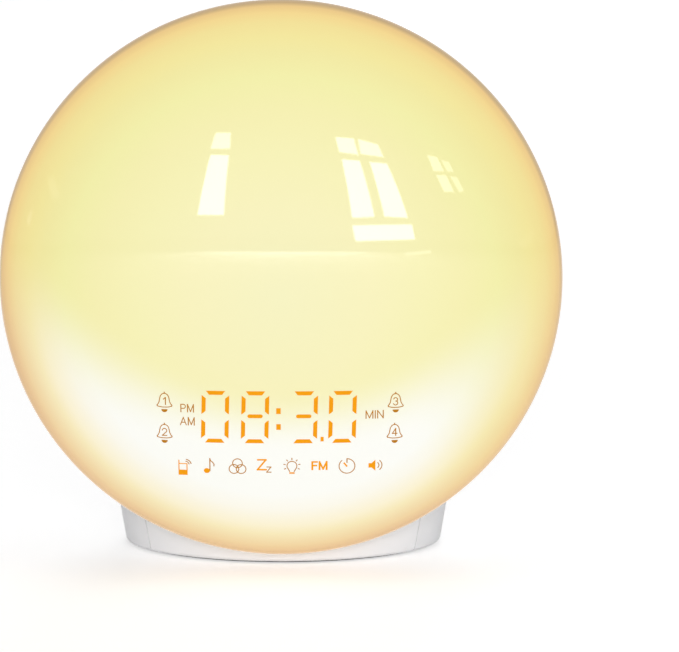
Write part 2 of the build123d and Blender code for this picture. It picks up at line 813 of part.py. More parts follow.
with BuildPart() as reflector:
    turned([(0, light_board_front), (reflector_floor, light_board_front), (reflector_rim, 0),
            (reflector_rim - reflector_wall, 0), (reflector_floor - reflector_wall, reflector_front),
            (0, reflector_front)])
    with BuildSketch(at_depth(light_board_front)):
        with Locations(*light_places):
            Rectangle(light_size + 2 * slip_fit, light_size + 2 * slip_fit)
        with Locations(*panel_points):
            Circle(board_screw[0] + close_fit)
        with Locations((0, -shroud_drop)):
            SlotOverall(*cable_slot)
    extrude(amount=reflector_wall, mode=Mode.SUBTRACT)
export(reflector, "reflector")

with BuildPart() as light_board:
    with BuildSketch(at_depth(bulkhead_front)):
        Circle(light_board_radius)
        with Locations(*panel_points):
            Circle(board_screw[0] + close_fit, mode=Mode.SUBTRACT)
        with Locations((0, -shroud_drop)):
            SlotOverall(*cable_slot, mode=Mode.SUBTRACT)
    extrude(amount=board_thickness)
export(light_board, "light_board")

with BuildPart() as light_diodes:
    with BuildSketch(at_depth(light_board_front)):
        with Locations(*light_places):
            Rectangle(light_size, light_size)
    extrude(amount=light_height)
export(light_diodes, "light_diodes")

with BuildPart() as reflector_screws:
    screws(at_depth(reflector_front), reflector_points, board_screw, board_screw_length)
export(reflector_screws, "reflector_screws")

# ---------------------------------------------------------------- display

digit_places = [side * (colon_pitch / 2 + step * digit_pitch) for side in (-1, 1) for step in (0, 1)]
bar_rise = (digit_height - digit_bar) / 2
bar_spread = (digit_width - digit_bar) / 2
level_bar = (digit_width - 2 * digit_bar - 2 * bar_gap, digit_bar)
upright_bar = (digit_bar, bar_rise - bar_gap)


def display_windows():
    """Every lit window of the display as (x, y, width, height), seen from the front."""
    windows = []
    for place in digit_places:
        windows += [(place, rise * bar_rise - digits_drop, *level_bar) for rise in (-1, 0, 1)]
        windows += [(place + side * bar_spread, rise * bar_rise / 2 - digits_drop, *upright_bar)
                    for side in (-1, 1) for rise in (-1, 1)]
    windows += [(0, rise * dot_rise - digits_drop, dot_size, dot_size) for rise in (-1, 1)]
    point_place = (digit_places[2] + digit_places[3]) / 2
    windows.append((point_place, -bar_rise - digits_drop, dot_size, dot_size))
    windows += [(side * bell_offset, -drop, bell_width, bell_height) for side in (-1, 1) for drop in bell_drops]
    windows += [(-word_offset, -drop, word_width, word_height) for drop in word_drops]
    windows.append((word_offset, -minute_drop, minute_width, word_height))
    windows += [((step - (sign_count - 1) / 2) * sign_pitch, -sign_drop, sign_width, sign_height)
                for step in range(sign_count)]
    return windows


board_corner = shroud_corner - shroud_wall
display_board_size = (shroud_width - 2 * shroud_wall, shroud_height - 2 * shroud_wall)
display_board_back = display_board_lift - board_thickness
display_points = [(side * word_offset, -shroud_drop + display_board_size[1] / 2 - display_screw_inset)
                  for side in (-1, 1)]
display_points += [(side * (display_board_size[0] / 2 - display_screw_inset), -sign_drop) for side in (-1, 1)]

with BuildPart() as display_shroud:
    with BuildSketch(at_depth(reflector_front)):
        with Locations((0, -shroud_drop)):
            RectangleRounded(shroud_width, shroud_height, shroud_corner)
    extrude(amount=reflector_front + lens_bulge)
    with BuildSketch(at_depth(reflector_front)):
        with Locations(*ear_points):
            Circle(ear_radius)
        for rise in (-1, 1):
            with Locations((0, -shroud_drop + rise * ear_spread / 2)):
                Rectangle(shroud_width + 2 * ear_offset, 2 * ear_radius)
    extrude(amount=ear_thickness)
    lens_inside(shroud_gap, Mode.INTERSECT)
    with BuildSketch(at_depth(reflector_front)):
        with Locations((0, -shroud_drop)):
            RectangleRounded(*display_board_size, board_corner)
    extrude(amount=reflector_front + display_board_lift, mode=Mode.SUBTRACT)
    with BuildSketch(front.offset(display_board_lift)):
        for x, y, width, height in display_windows():
            with Locations((x, y)):
                Rectangle(width, height)
    extrude(amount=lens_bulge, mode=Mode.SUBTRACT)
    round_bars(at_depth(reflector_front), ear_points, board_screw[0] + close_fit, ear_thickness, Mode.SUBTRACT)
    round_bars(front.offset(display_board_lift), display_points, board_screw[0] + thread_fit,
               board_pilot_depth, Mode.SUBTRACT)
export(display_shroud, "display_shroud")

with BuildPart() as display_board:
    with BuildSketch(front.offset(display_board_back)):
        with Locations((0, -shroud_drop)):
            RectangleRounded(display_board_size[0] - 2 * close_fit, display_board_size[1] - 2 * close_fit,
                             board_corner)
        with Locations(*display_points):
            Circle(board_screw[0] + close_fit, mode=Mode.SUBTRACT)
    extrude(amount=board_thickness)
export(display_board, "display_board")

with BuildPart() as display_diodes:
    with BuildSketch(front.offset(display_board_lift)):
        with Locations(*[(x, y) for x, y, width, height in display_windows()]):
            Rectangle(display_light_width, display_light_depth)
    extrude(amount=display_light_height)
export(display_diodes, "display_diodes")

with BuildPart() as display_screws:
    screws(front.offset(display_board_back), display_points, board_screw, board_screw_length, side=-1)
export(display_screws, "display_screws")

with BuildPart() as shroud_screws:
    screws(at_depth(reflector_front - ear_thickness), ear_points, board_screw, shroud_screw_length)
export(shroud_screws, "shroud_screws")

# ---------------------------------------------------------------- boards inside the case

cable_socket_width, cable_socket_height, cable_socket_depth = cable_socket_size
cable_socket_drop = main_board_lift - main_board_height / 2 + cable_socket_rise + cable_socket_height / 2
cable_depth = key_board_front - cable_socket_depth / 2

with BuildPart() as display_cable:
    with BuildSketch(Plane(origin=(0, rim_y, centre_height), x_dir=(0, -1, 0), z_dir=(-1, 0, 0))):
        with BuildLine():
            FilletPolyline((display_board_back, -shroud_drop), (-cable_depth, -shroud_drop),
                           (-cable_depth, cable_socket_drop - cable_socket_height / 2), radius=cable_bend)
        trace(line_width=cable_thickness)
    extrude(amount=cable_width / 2, both=True)
export(display_cable, "display_cable")

key_board_radius = switch_face_radius + key_board_margin
with BuildPart() as key_board:
    with BuildSketch(at_depth(key_board_back)):
        Circle(key_board_radius)
        Circle(key_board_radius - key_board_width, mode=Mode.SUBTRACT)
        with Locations((0, -key_board_drop)):
            Rectangle(2 * key_board_radius, key_board_radius, align=(Align.CENTER, Align.MAX),
                      mode=Mode.SUBTRACT)
        with Locations(*case_points):
            Circle(key_board_hole, mode=Mode.SUBTRACT)
        with Locations(*key_post_points):
            Circle(board_screw[0] + close_fit, mode=Mode.SUBTRACT)
    extrude(amount=board_thickness)
export(key_board, "key_board")

with BuildPart() as key_board_screws:
    screws(at_depth(key_board_back), key_post_points, board_screw, board_screw_length, side=-1)
export(key_board_screws, "key_board_screws")

with BuildPart() as main_board:
    with BuildSketch(at_depth(key_board_back)):
        with Locations((0, main_board_lift)):
            RectangleRounded(main_board_width, main_board_height, main_board_corner)
        with Locations(*main_post_points):
            Circle(board_screw[0] + close_fit, mode=Mode.SUBTRACT)
    extrude(amount=board_thickness)
export(main_board, "main_board")

with BuildPart() as main_board_screws:
    screws(at_depth(key_board_back), main_post_points, board_screw, board_screw_length, side=-1)
export(main_board_screws, "main_board_screws")


def board_block(x, y, width, height, thickness, lift=0.0):
    """Block on the back of the main board, placed from the board's centre."""
    with BuildSketch(at_depth(key_board_back + lift)) as section:
        with Locations((x, main_board_lift + y)):
            Rectangle(width, height)
    extrude(section.sketch, amount=-thickness)


with BuildPart() as main_chips:
    for x, y, width, height, thickness in chip_sizes:
        board_block(x, y, width, height, thickness)
export(main_chips, "main_chips")

with BuildPart() as radio_module:
    board_block(*radio_place, *radio_board_size)
    board_block(*radio_place, *radio_shield_size, lift=radio_board_size[2])
export(radio_module, "radio_module")

with BuildPart() as capacitors:
    round_bars(at_depth(key_board_back), [(x, main_board_lift + y) for x, y in capacitor_places],
               capacitor_radius, -capacitor_height)
export(capacitors, "capacitors")

with BuildPart() as board_connectors:
    for x, y, width in socket_places:
        board_block(x, y, width, *socket_size)
    with BuildSketch(at_depth(key_board_front)):
        with Locations((0, cable_socket_drop)):
            Rectangle(cable_socket_width, cable_socket_height)
    extrude(amount=cable_socket_depth)
export(board_connectors, "board_connectors")

# ---------------------------------------------------------------- loudspeaker

flange_front_depth = flange_back_depth - frame_thickness
basket_depth = flange_front_depth - frame_height
iron_depth = basket_depth - iron_thickness
magnet_depth = iron_depth - magnet_height
yoke_depth = magnet_depth - iron_thickness
coil_inner_radius = coil_radius - coil_wall / 2
coil_outer_radius = coil_radius + coil_wall / 2
iron_inner_radius = coil_outer_radius + coil_gap
pole_radius = coil_inner_radius - coil_gap
seat_outer_radius = speaker_screw_circle - board_post_radius - close_fit
cone_edge_depth = flange_front_depth - cone_clearance
cone_neck_depth = cone_edge_depth - cone_height
roll_depth = back_inner_depth - roll_clearance

with BuildPart() as speaker_gasket:
    turned([(opening_radius + slip_fit, back_inner_depth), (seat_outer_radius, back_inner_depth),
            (seat_outer_radius, speaker_face_depth), (opening_radius + slip_fit, speaker_face_depth)])
export(speaker_gasket, "speaker_gasket")

with BuildPart() as speaker_surround:
    turned([(cone_radius, cone_edge_depth), (cone_radius, cone_edge_depth + cone_lip),
            (cone_radius + roll_slope, roll_depth - roll_slope), (cone_radius + 2 * roll_slope, roll_depth),
            (opening_radius - roll_slope, roll_depth), (opening_radius, speaker_face_depth),
            (seat_outer_radius, speaker_face_depth), (seat_outer_radius, flange_back_depth),
            (opening_radius - surround_thickness / 2, flange_back_depth),
            (opening_radius - roll_slope - surround_thickness / 2, roll_depth - surround_thickness),
            (cone_radius + 2 * roll_slope + surround_thickness / 2, roll_depth - surround_thickness),
            (cone_radius + roll_slope + surround_thickness, roll_depth - roll_slope - surround_thickness),
            (cone_radius + surround_thickness, cone_edge_depth)])
export(speaker_surround, "speaker_surround")

with BuildPart() as speaker_frame:
    turned([(opening_radius, flange_back_depth), (flange_radius, flange_back_depth),
            (flange_radius, flange_front_depth), (opening_radius + frame_thickness, flange_front_depth),
            (magnet_radius - frame_thickness, basket_depth), (iron_inner_radius + slip_fit, basket_depth),
            (iron_inner_radius + slip_fit, basket_depth + frame_thickness),
            (magnet_radius - 2 * frame_thickness, basket_depth + frame_thickness),
            (opening_radius, flange_back_depth - frame_thickness / 2)])
    with BuildSketch(at_depth(flange_front_depth)):
        Circle(opening_radius - frame_thickness)
        Circle(magnet_radius, mode=Mode.SUBTRACT)
        with PolarLocations((opening_radius + magnet_radius) / 2, basket_spokes):
            Rectangle(opening_radius - magnet_radius + weld, basket_spoke, mode=Mode.SUBTRACT)
    extrude(amount=frame_height - 2 * frame_thickness, mode=Mode.SUBTRACT)
    round_bars(at_depth(flange_back_depth), speaker_points, board_screw[0] + close_fit,
               frame_thickness, Mode.SUBTRACT)
export(speaker_frame, "speaker_frame")

with BuildPart() as speaker_magnet:
    turned([(pole_radius + coil_wall + 2 * coil_gap + iron_thickness / 2, iron_depth),
            (magnet_radius, iron_depth), (magnet_radius, magnet_depth),
            (pole_radius + coil_wall + 2 * coil_gap + iron_thickness / 2, magnet_depth)])
export(speaker_magnet, "speaker_magnet")

with BuildPart() as speaker_iron:
    turned([(iron_inner_radius, basket_depth), (magnet_radius - iron_thickness / 2, basket_depth),
            (magnet_radius - iron_thickness / 2, iron_depth), (iron_inner_radius, iron_depth)])
    turned([(0, basket_depth + slip_fit), (pole_radius, basket_depth + slip_fit), (pole_radius, magnet_depth),
            (magnet_radius - iron_thickness / 2, magnet_depth),
            (magnet_radius - iron_thickness / 2, yoke_depth), (0, yoke_depth)])
export(speaker_iron, "speaker_iron")

with BuildPart() as speaker_cone:
    turned([(coil_inner_radius, coil_end_depth), (coil_outer_radius, coil_end_depth),
            (coil_outer_radius, cone_neck_depth), (cone_radius, cone_edge_depth),
            (cone_radius, cone_edge_depth + cone_lip), (coil_outer_radius + cone_wall, cone_neck_depth + cone_lip),
            (cap_edge_radius, cone_neck_depth + cone_lip), (0, cone_neck_depth + cap_height),
            (0, cone_neck_depth + cap_height - cone_wall), (coil_inner_radius, cone_neck_depth)])
export(speaker_cone, "speaker_cone")

with BuildPart() as speaker_screws:
    screws(at_depth(flange_front_depth), speaker_points, board_screw, speaker_screw_length)
export(speaker_screws, "speaker_screws")

# ---------------------------------------------------------------- sockets in the foot and case screws

with BuildPart() as port_board:
    with BuildSketch(Plane.XY.offset(port_board_bottom)):
        with Locations((0, rim_y + pocket_wall_depth - slip_fit)):
            Rectangle(port_board_width, port_board_reach, align=(Align.CENTER, Align.MAX))
        with Locations(*port_points):
            Circle(board_screw[0] + close_fit, mode=Mode.SUBTRACT)
    extrude(amount=board_thickness)
export(port_board, "port_board")

with BuildPart() as port_screws:
    screws(Plane.XY.offset(connector_level), port_points, board_screw, port_screw_length)
export(port_screws, "port_screws")

with BuildPart() as usb_socket:
    with BuildSketch(at_depth(pocket_floor_depth)):
        with Locations(usb_centre):
            Rectangle(usb_width, usb_height)
    extrude(amount=connector_reach)
    with BuildSketch(at_depth(pocket_floor_depth)):
        with Locations(usb_centre):
            Rectangle(usb_width - 2 * usb_shell, usb_height - 2 * usb_shell)
    extrude(amount=usb_depth, mode=Mode.SUBTRACT)
    with BuildSketch(at_depth(pocket_floor_depth - usb_depth - weld)):
        with Locations((usb_centre[0], usb_centre[1] + usb_tongue_rise)):
            Rectangle(*usb_tongue[:2])
    extrude(amount=-usb_tongue[2] - weld)
export(usb_socket, "usb_socket")

with BuildPart() as power_jack:
    with BuildSketch(at_depth(pocket_floor_depth)):
        with Locations(jack_centre):
            Rectangle(jack_width, jack_height)
    extrude(amount=connector_reach)
    round_bars(at_depth(pocket_floor_depth), [jack_centre], jack_hole_radius, jack_hole_depth, Mode.SUBTRACT)
    round_bars(at_depth(pocket_floor_depth - jack_hole_depth - weld), [jack_centre], jack_pin_radius,
               -jack_pin_length - weld)
export(power_jack, "power_jack")

with BuildPart() as case_screws:
    screws(at_depth(parting_depth + well_floor), case_points, case_screw, case_screw_length, side=-1)
export(case_screws, "case_screws")
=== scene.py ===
import json
from math import cos, pi, radians, sin, sqrt

import bmesh
import bpy
from bpy.props import FloatProperty, FloatVectorProperty, IntProperty, PointerProperty, StringProperty
from mathutils import Euler, Matrix, Vector
from mathutils.bvhtree import BVHTree


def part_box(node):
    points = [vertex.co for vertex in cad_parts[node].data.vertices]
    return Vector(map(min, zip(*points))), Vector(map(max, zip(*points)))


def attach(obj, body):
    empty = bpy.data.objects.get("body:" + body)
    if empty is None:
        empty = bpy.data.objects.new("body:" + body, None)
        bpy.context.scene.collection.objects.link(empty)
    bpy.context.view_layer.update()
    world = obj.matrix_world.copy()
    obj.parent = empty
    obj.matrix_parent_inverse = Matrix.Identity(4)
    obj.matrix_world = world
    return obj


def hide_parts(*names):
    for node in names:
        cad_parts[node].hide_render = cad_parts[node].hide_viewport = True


bl_info = {
    "name": "Sunrise alarm clock",
    "version": (1, 0, 0),
    "blender": (4, 5, 0),
    "location": "View3D > Sidebar > Clock",
    "description": "Dresses the clock: lit dome, display, printed keys, moulded case and studio",
    "category": "Object",
}

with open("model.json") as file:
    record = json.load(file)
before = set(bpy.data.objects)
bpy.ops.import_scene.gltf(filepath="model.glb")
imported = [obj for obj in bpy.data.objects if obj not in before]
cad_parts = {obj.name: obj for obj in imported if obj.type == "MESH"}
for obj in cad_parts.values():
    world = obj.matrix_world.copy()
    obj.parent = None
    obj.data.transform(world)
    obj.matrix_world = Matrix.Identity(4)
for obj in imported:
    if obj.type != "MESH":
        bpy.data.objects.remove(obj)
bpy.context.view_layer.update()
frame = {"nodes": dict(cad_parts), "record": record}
NODES = frame["nodes"]
LENS_LOW, LENS_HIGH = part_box("dome_lens")
MM = 0.001
# Corners nearer than this are one: in a new skin, and in a CAD node's loose triangles
SKIN_MERGE = 0.001 * MM
NODE_MERGE = 0.002 * MM

# ---------------------------------------------------------------- sizes and colours


class DomeSettings(bpy.types.PropertyGroup):
    """Sizes and lit colours of the dome."""

    radius: FloatProperty(
        name="Radius", description="Radius of the dome's rim", unit="LENGTH",
        default=(LENS_HIGH.x - LENS_LOW.x) / 2)
    skirt: FloatProperty(
        name="Skirt", description="Depth of the skirt behind the rim", default=9.0 * MM, unit="LENGTH")
    wall: FloatProperty(name="Wall", description="Wall thickness of the dome", default=2.6 * MM, unit="LENGTH")
    lip_step: FloatProperty(
        name="Lip step", description="How far the rim stands out past the skirt's groove",
        default=2.8 * MM, unit="LENGTH")
    lip_depth: FloatProperty(
        name="Lip depth", description="Depth of the rounded lip behind the rim", default=2.8 * MM, unit="LENGTH")
    segments: IntProperty(name="Segments", description="Steps round the dome", default=240, min=48)
    rings: IntProperty(name="Rings", description="Steps from the rim to the middle", default=72, min=12)
    glow_height: FloatProperty(
        name="Glow height", description="Height of the glow's soft upper edge over the dome's middle",
        default=-42.8 * MM, unit="LENGTH")
    glow_rise: FloatProperty(
        name="Glow rise", description="How much the glow climbs towards the sides",
        default=4.8, subtype="FACTOR")
    glow_blur: FloatProperty(
        name="Glow blur", description="Half width of the glow's soft upper edge",
        default=13.0 * MM, unit="LENGTH")
    glow_spread: FloatProperty(
        name="Glow spread", description="How much the soft edge widens towards the sides", default=190.0)
    glow_fade: FloatProperty(
        name="Glow fade", description="How much weaker the glow is at the right", default=0.5, subtype="FACTOR")
    light: FloatProperty(name="Light", description="Strength of the light from inside", default=0.64)
    # Body: the base colour is this share of the lit colour, painted light from inside
    body: FloatProperty(
        name="Body", description="Share of the lit colour that the plastic itself has",
        default=0.3, subtype="FACTOR")


class DisplaySettings(bpy.types.PropertyGroup):
    """Sizes and colour of the digits and signs."""

    time: StringProperty(name="Time", description="Four digits that are lit", default="0830")
    digit_height: FloatProperty(
        name="Digit height", description="Height of a digit", default=18.3 * MM, unit="LENGTH")
    digit_width: FloatProperty(
        name="Digit width", description="Width of a digit", default=9.2 * MM, unit="LENGTH")
    bar: FloatProperty(name="Bar", description="Width of a digit's bars", default=1.38 * MM, unit="LENGTH")
    gap: FloatProperty(name="Gap", description="Gap between two bars", default=0.5 * MM, unit="LENGTH")
    slant: FloatProperty(name="Slant", description="Lean of the digits", default=radians(1.5), unit="ROTATION")
    drop: FloatProperty(
        name="Drop", description="Digits' middle below the dome's middle", default=41.15 * MM, unit="LENGTH")
    sign_drop: FloatProperty(
        name="Sign drop", description="Signs' middle below the dome's middle", default=58.8 * MM, unit="LENGTH")
    stroke: FloatProperty(
        name="Stroke", description="Line width of the signs", default=0.36 * MM, unit="LENGTH")
    proud: FloatProperty(
        name="Proud", description="How far the print stands on its surface", default=0.06 * MM, unit="LENGTH")
    colour: FloatVectorProperty(
        name="Colour", description="Lit colour of digits and signs",
        default=(0.93, 0.345, 0.004), size=3, subtype="COLOR")
    fine_colour: FloatVectorProperty(
        name="Fine colour", description="Lit colour of the thin lines",
        default=(0.50, 0.20, 0.008), size=3, subtype="COLOR")


class FinishSettings(bpy.types.PropertyGroup):
    """Colours of the case and of what shows outside it."""

    case: FloatVectorProperty(
        name="Case", description="Moulded white case", default=(0.86, 0.865, 0.885), size=3, subtype="COLOR")
    key: FloatVectorProperty(
        name="Keys", description="Moulded keys", default=(0.83, 0.835, 0.85), size=3, subtype="COLOR")
    base: FloatVectorProperty(
        name="Base plate", description="Underside", default=(0.50, 0.51, 0.52), size=3, subtype="COLOR")
    print_grey: FloatVectorProperty(
        name="Print", description="Signs printed on the keys",
        default=(0.16, 0.165, 0.175), size=3, subtype="COLOR")


class StageSettings(bpy.types.PropertyGroup):
    """Camera and lights."""

    elevation: FloatProperty(
        name="Elevation", description="Camera's angle above the horizon", default=radians(11.0), unit="ROTATION")
    distance: FloatProperty(name="Distance", description="Camera's distance", default=1.5, unit="LENGTH")
    aim_right: FloatProperty(
        name="Aim right", description="Aim point right of the dome's middle", default=19.7 * MM, unit="LENGTH")
    aim_drop: FloatProperty(
        name="Aim drop", description="Aim point below the dome's middle", default=15.94 * MM, unit="LENGTH")
    lens: FloatProperty(name="Lens", description="Camera's focal length in millimetres", default=235.2)
    window_distance: FloatProperty(
        name="Window distance", description="Windows' distance from the dome", default=1.6, unit="LENGTH")
    window_light: FloatProperty(name="Window light", description="Strength of the window panes", default=11.0)


def dome():
    """The dome's settings."""
    return bpy.context.scene.clock_dome


def display():
    """The display's settings."""
    return bpy.context.scene.clock_display


def finish():
    """The finish settings."""
    return bpy.context.scene.clock_finish


def studio():
    """The stage's settings."""
    return bpy.context.scene.clock_stage


# ---------------------------------------------------------------- places on the dome


def dome_middle():
    """Middle of the dome's rim, in the row frame."""
    return Vector((0, LENS_HIGH.y - dome().skirt, (LENS_LOW.z + LENS_HIGH.z) / 2))


def dome_bulge():
    """How far the dome stands in front of its rim."""
    return dome_middle().y - LENS_LOW.y


def dome_point(x, z):
    """Point on the dome's outside, from how far right of and above its middle it lies."""
    share = (x * x + z * z) / dome().radius ** 2
    return dome_middle() + Vector((x, -dome_bulge() * sqrt(1 - share), z))


def dome_normal(point):
    """Outward normal of the dome at a point on it."""
    offset = point - dome_middle()
    across, deep = dome().radius ** 2, dome_bulge() ** 2
    return Vector((offset.x / across, offset.y / deep, offset.z / across)).normalized()


# ---------------------------------------------------------------- making pieces


def add_object(name, data):
    """New object in the scene."""
    added = bpy.data.objects.new(name, data)
    bpy.context.scene.collection.objects.link(added)
    return added


def link_piece(name, mesh, material, body, smooth=True):
    """Puts a finished mesh in the scene, with its material, on a body."""
    piece = add_object(name, mesh)
    mesh.materials.clear()
    mesh.materials.append(material)
    mesh.polygons.foreach_set("use_smooth", [smooth] * len(mesh.polygons))
    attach(piece, body)
    return piece


def mesh_from(bm, name):
    """Mesh data from a bmesh, which is freed."""
    mesh = bpy.data.meshes.new(name)
    bm.to_mesh(mesh)
    bm.free()
    return mesh


def bake_curve(data):
    """Mesh of a curve or text, which is then removed."""
    holder = add_object("holder", data)
    evaluated = holder.evaluated_get(bpy.context.evaluated_depsgraph_get())
    mesh = bpy.data.meshes.new_from_object(evaluated)
    bpy.data.objects.remove(holder)
    bpy.data.curves.remove(data)
    return mesh


def spun(points, middle, axis, steps):
    """Closed or open bmesh skin turned about an axis through middle. Points are (radius, forward)."""
    bm = bmesh.new()
    side = axis.orthogonal().normalized()
    verts = [bm.verts.new(middle + side * radius + axis * forward) for radius, forward in points]
    edges = [bm.edges.new(pair) for pair in zip(verts, verts[1:])]
    bmesh.ops.spin(bm, geom=verts + edges, cent=middle, axis=axis, angle=2 * pi, steps=steps, use_merge=True)
    bmesh.ops.remove_doubles(bm, verts=bm.verts, dist=SKIN_MERGE)
    bmesh.ops.recalc_face_normals(bm, faces=bm.faces)
    return bm


def node_skin(node):
    """Bmesh copy of a CAD node, with its doubles merged."""
    bm = bmesh.new()
    bm.from_mesh(NODES[node].data)
    bmesh.ops.remove_doubles(bm, verts=bm.verts, dist=NODE_MERGE)
    return bm


def mark_sharp(bm, limit):
    """Edges that turn by more than limit are shaded as sharp."""
    for edge in bm.edges:
        edge.smooth = edge.is_manifold and edge.calc_face_angle(pi) < limit


def cut_along(bm, point, normal):
    """Cuts every face that a plane crosses."""
    geom = bm.verts[:] + bm.edges[:] + bm.faces[:]
    bmesh.ops.bisect_plane(bm, geom=geom, plane_co=point, plane_no=normal)


def push_faces(bm, faces, step):
    """Extrudes faces and moves them by a step."""
    grown = bmesh.ops.extrude_face_region(bm, geom=faces)
    moved = [item for item in grown["geom"] if isinstance(item, bmesh.types.BMVert)]
    bmesh.ops.translate(bm, verts=moved, vec=step)


def arc(x, z, radius, start, end, steps=16):
    """Points of an arc, in millimetres and degrees from the right, anticlockwise."""
    angles = [radians(start + (end - start) * step / steps) for step in range(steps + 1)]
    return [(x + radius * cos(angle), z + radius * sin(angle)) for angle in angles]


def ring(x, z, radius, steps=28):
    """Points of a full circle, ending as it starts."""
    points = arc(x, z, radius, 0, 360, steps)
    return points[:-1] + points[:1]


# ---------------------------------------------------------------- prints: digits, signs and words


def sharp_turn(before, at, after):
    """True where a line turns by more than CORNER."""
    first = Vector(at) - Vector(before)
    return first.angle(Vector(after) - Vector(at)) > CORNER


def runs_of(points):
    """Splits a line at its corners. Each run is (points, whether it closes on itself)."""
    closed = points[0] == points[-1]
    looped = points + points[1:2] if closed else points
    if closed and not any(sharp_turn(*trio) for trio in zip(looped, looped[1:], looped[2:])):
        return [(points[:-1], True)]
    runs = [[points[0]]]
    for before, at, after in zip(points, points[1:], points[2:]):
        runs[-1].append(at)
        if sharp_turn(before, at, after):
            runs.append([at])
    runs[-1].append(points[-1])
    return [(run, False) for run in runs]


def add_strokes(bm, strokes, width):
    """Adds lines of a width in the XZ plane, square at their ends and corners."""
    curve = bpy.data.curves.new("strokes", "CURVE")
    curve.dimensions = "3D"
    curve.bevel_depth = width / 2
    curve.bevel_resolution = 1
    curve.use_fill_caps = True
    for points, closed in [run for stroke in strokes for run in runs_of(stroke)]:
        path = [Vector(point) for point in points]
        if not closed:
            path[0] += (path[0] - path[1]).normalized() * width * END_SHARE
            path[-1] += (path[-1] - path[-2]).normalized() * width * END_SHARE
        spline = curve.splines.new("POLY")
        spline.points.add(len(path) - 1)
        for spot, point in zip(spline.points, path):
            spot.co = (point.x, 0, point.y, 1)
        spline.use_cyclic_u = closed
    mesh = bake_curve(curve)
    mesh.transform(Matrix.Diagonal((1, INK_SHARE, 1, 1)))
    bm.from_mesh(mesh)
    bpy.data.meshes.remove(mesh)


def add_fills(bm, outlines, depth):
    """Adds thin plates with the given outlines, in the XZ plane."""
    for outline in outlines:
        face = bm.faces.new([bm.verts.new((x, 0, z)) for x, z in outline])
        push_faces(bm, [face], (0, -depth, 0))
    bmesh.ops.recalc_face_normals(bm, faces=bm.faces)


def word_strokes(word, height, spread=1.0):
    """Lines of a word in plain capitals and figures, centred on the origin. Spread widens it."""
    strokes, at = [], 0.0
    for letter in word:
        width, lines = LETTERS[letter]
        strokes += [[(at + x, z) for x, z in line] for line in lines]
        at += width + LETTER_GAP
    middle = (at - LETTER_GAP) / 2
    return [[((x - middle) * height * spread, (z - 0.5) * height) for x, z in line] for line in strokes]


def sign_bell(number):
    """Outline of a bell with its clapper and a number."""
    left = [(-0.35, 2.95), (-0.95, 2.6), (-1.4, 1.9), (-1.6, 1.0), (-1.75, 0.1), (-2.05, -0.6), (-2.5, -1.2),
            (-2.4, -1.5), (-1.5, -1.75), (-0.7, -1.85)]
    right = [(-x, z) for x, z in reversed(left)]
    number_lines = [[(x, z + 0.3) for x, z in line] for line in word_strokes(number, 2.5)]
    clapper = arc(0.0, -2.6, 1.05, 180, 360, 10)
    return {"lines": [left + right + left[:1], [(0.0, 3.4), (0.0, 3.0)]] + number_lines, "soft": [clapper]}


def sign_phone():
    """Handset with an aerial and two waves."""
    box = [(-1.85, 1.3), (0.85, 1.3), (0.85, -2.7), (-1.85, -2.7), (-1.85, 1.3)]
    aerial = [(-1.85, 1.3), (-1.85, 2.5)]
    keys = [(-1.85, -0.95), (0.85, -0.95), (0.85, -2.7), (-1.85, -2.7)]
    waves = [arc(0.3, 0.9, radius, 15, 80, 8) for radius in (1.3, 2.0)]
    return {"lines": waves, "bright": [box, aerial], "fills": [keys]}


def sign_note():
    """Music note."""
    head = [(x * 1.15, z) for x, z in ring(-0.6, -1.75, 0.9, 18)[:-1]]
    stem = [(0.35, -1.75), (0.35, 2.7)]
    flag = [(0.35, 2.7), (0.6, 1.9), (1.3, 1.3), (1.75, 0.6), (1.7, 0.0)]
    return {"lines": [stem, flag], "fills": [head]}


def sign_colours():
    """Three rings that overlap."""
    places = [(0.0, 1.15), (-1.2, -0.95), (1.2, -0.95)]
    return {"lines": [ring(x, z, 1.62) for x, z in places]}


def sign_sleep():
    """A large and a small letter z."""
    large = [(-2.1, 2.2), (0.6, 2.2), (-2.2, -1.4), (0.7, -1.4)]
    small = [(0.95, -0.4), (2.3, -0.4), (0.85, -2.3), (2.3, -2.3)]
    return {"bold": [large], "lines": [small]}


def sign_bulb():
    """Bulb with rays."""
    glass = [(-0.75, -1.75)] + arc(0.0, 0.3, 1.65, 218, -38, 20) + [(0.75, -1.75)]
    foot = [(-0.65, -2.3), (0.65, -2.3)]
    rays = [polar_line(0.0, 0.3, 2.3, 2.75, angle) for angle in (-25, 12, 51, 90, 129, 168, 205)]
    return {"lines": [glass] + rays, "bold": [foot]}


def sign_timer():
    """Dial with a hand and an open top."""
    dial = arc(0.0, 0.0, 2.65, 90, -230, 30)
    return {"lines": [dial, [(0.0, 2.65), (0.0, 1.3)]], "bold": [[(-0.9, 1.0), (-0.1, 0.0)]]}


def sign_wireless():
    """Loudspeaker with waves, for sound sent without a lead."""
    horn = [(-2.2, 0.8), (-1.2, 0.8), (0.1, 2.0), (0.1, -2.0), (-1.2, -0.8), (-2.2, -0.8)]
    waves = [arc(0.1, 0.0, radius, -48, 48, 8) for radius in (1.2, 2.2)]
    return {"lines": waves, "fills": [horn]}


def sign_radio():
    """Letters of the radio band."""
    return {"bold": word_strokes("FM", 2.75)}


def sign_plus():
    """Plus."""
    return {"lines": [[(-2.0, 0.0), (2.0, 0.0)], [(0.0, -2.0), (0.0, 2.0)]]}


def sign_minus():
    """Minus."""
    return {"lines": [[(-2.0, 0.0), (2.0, 0.0)]]}


def sign_sun():
    """Ring with rays."""
    rays = [polar_line(0.0, 0.0, 1.9, 2.7, angle) for angle in range(0, 360, 45)]
    return {"lines": [ring(0.0, 0.0, 1.2)] + rays}


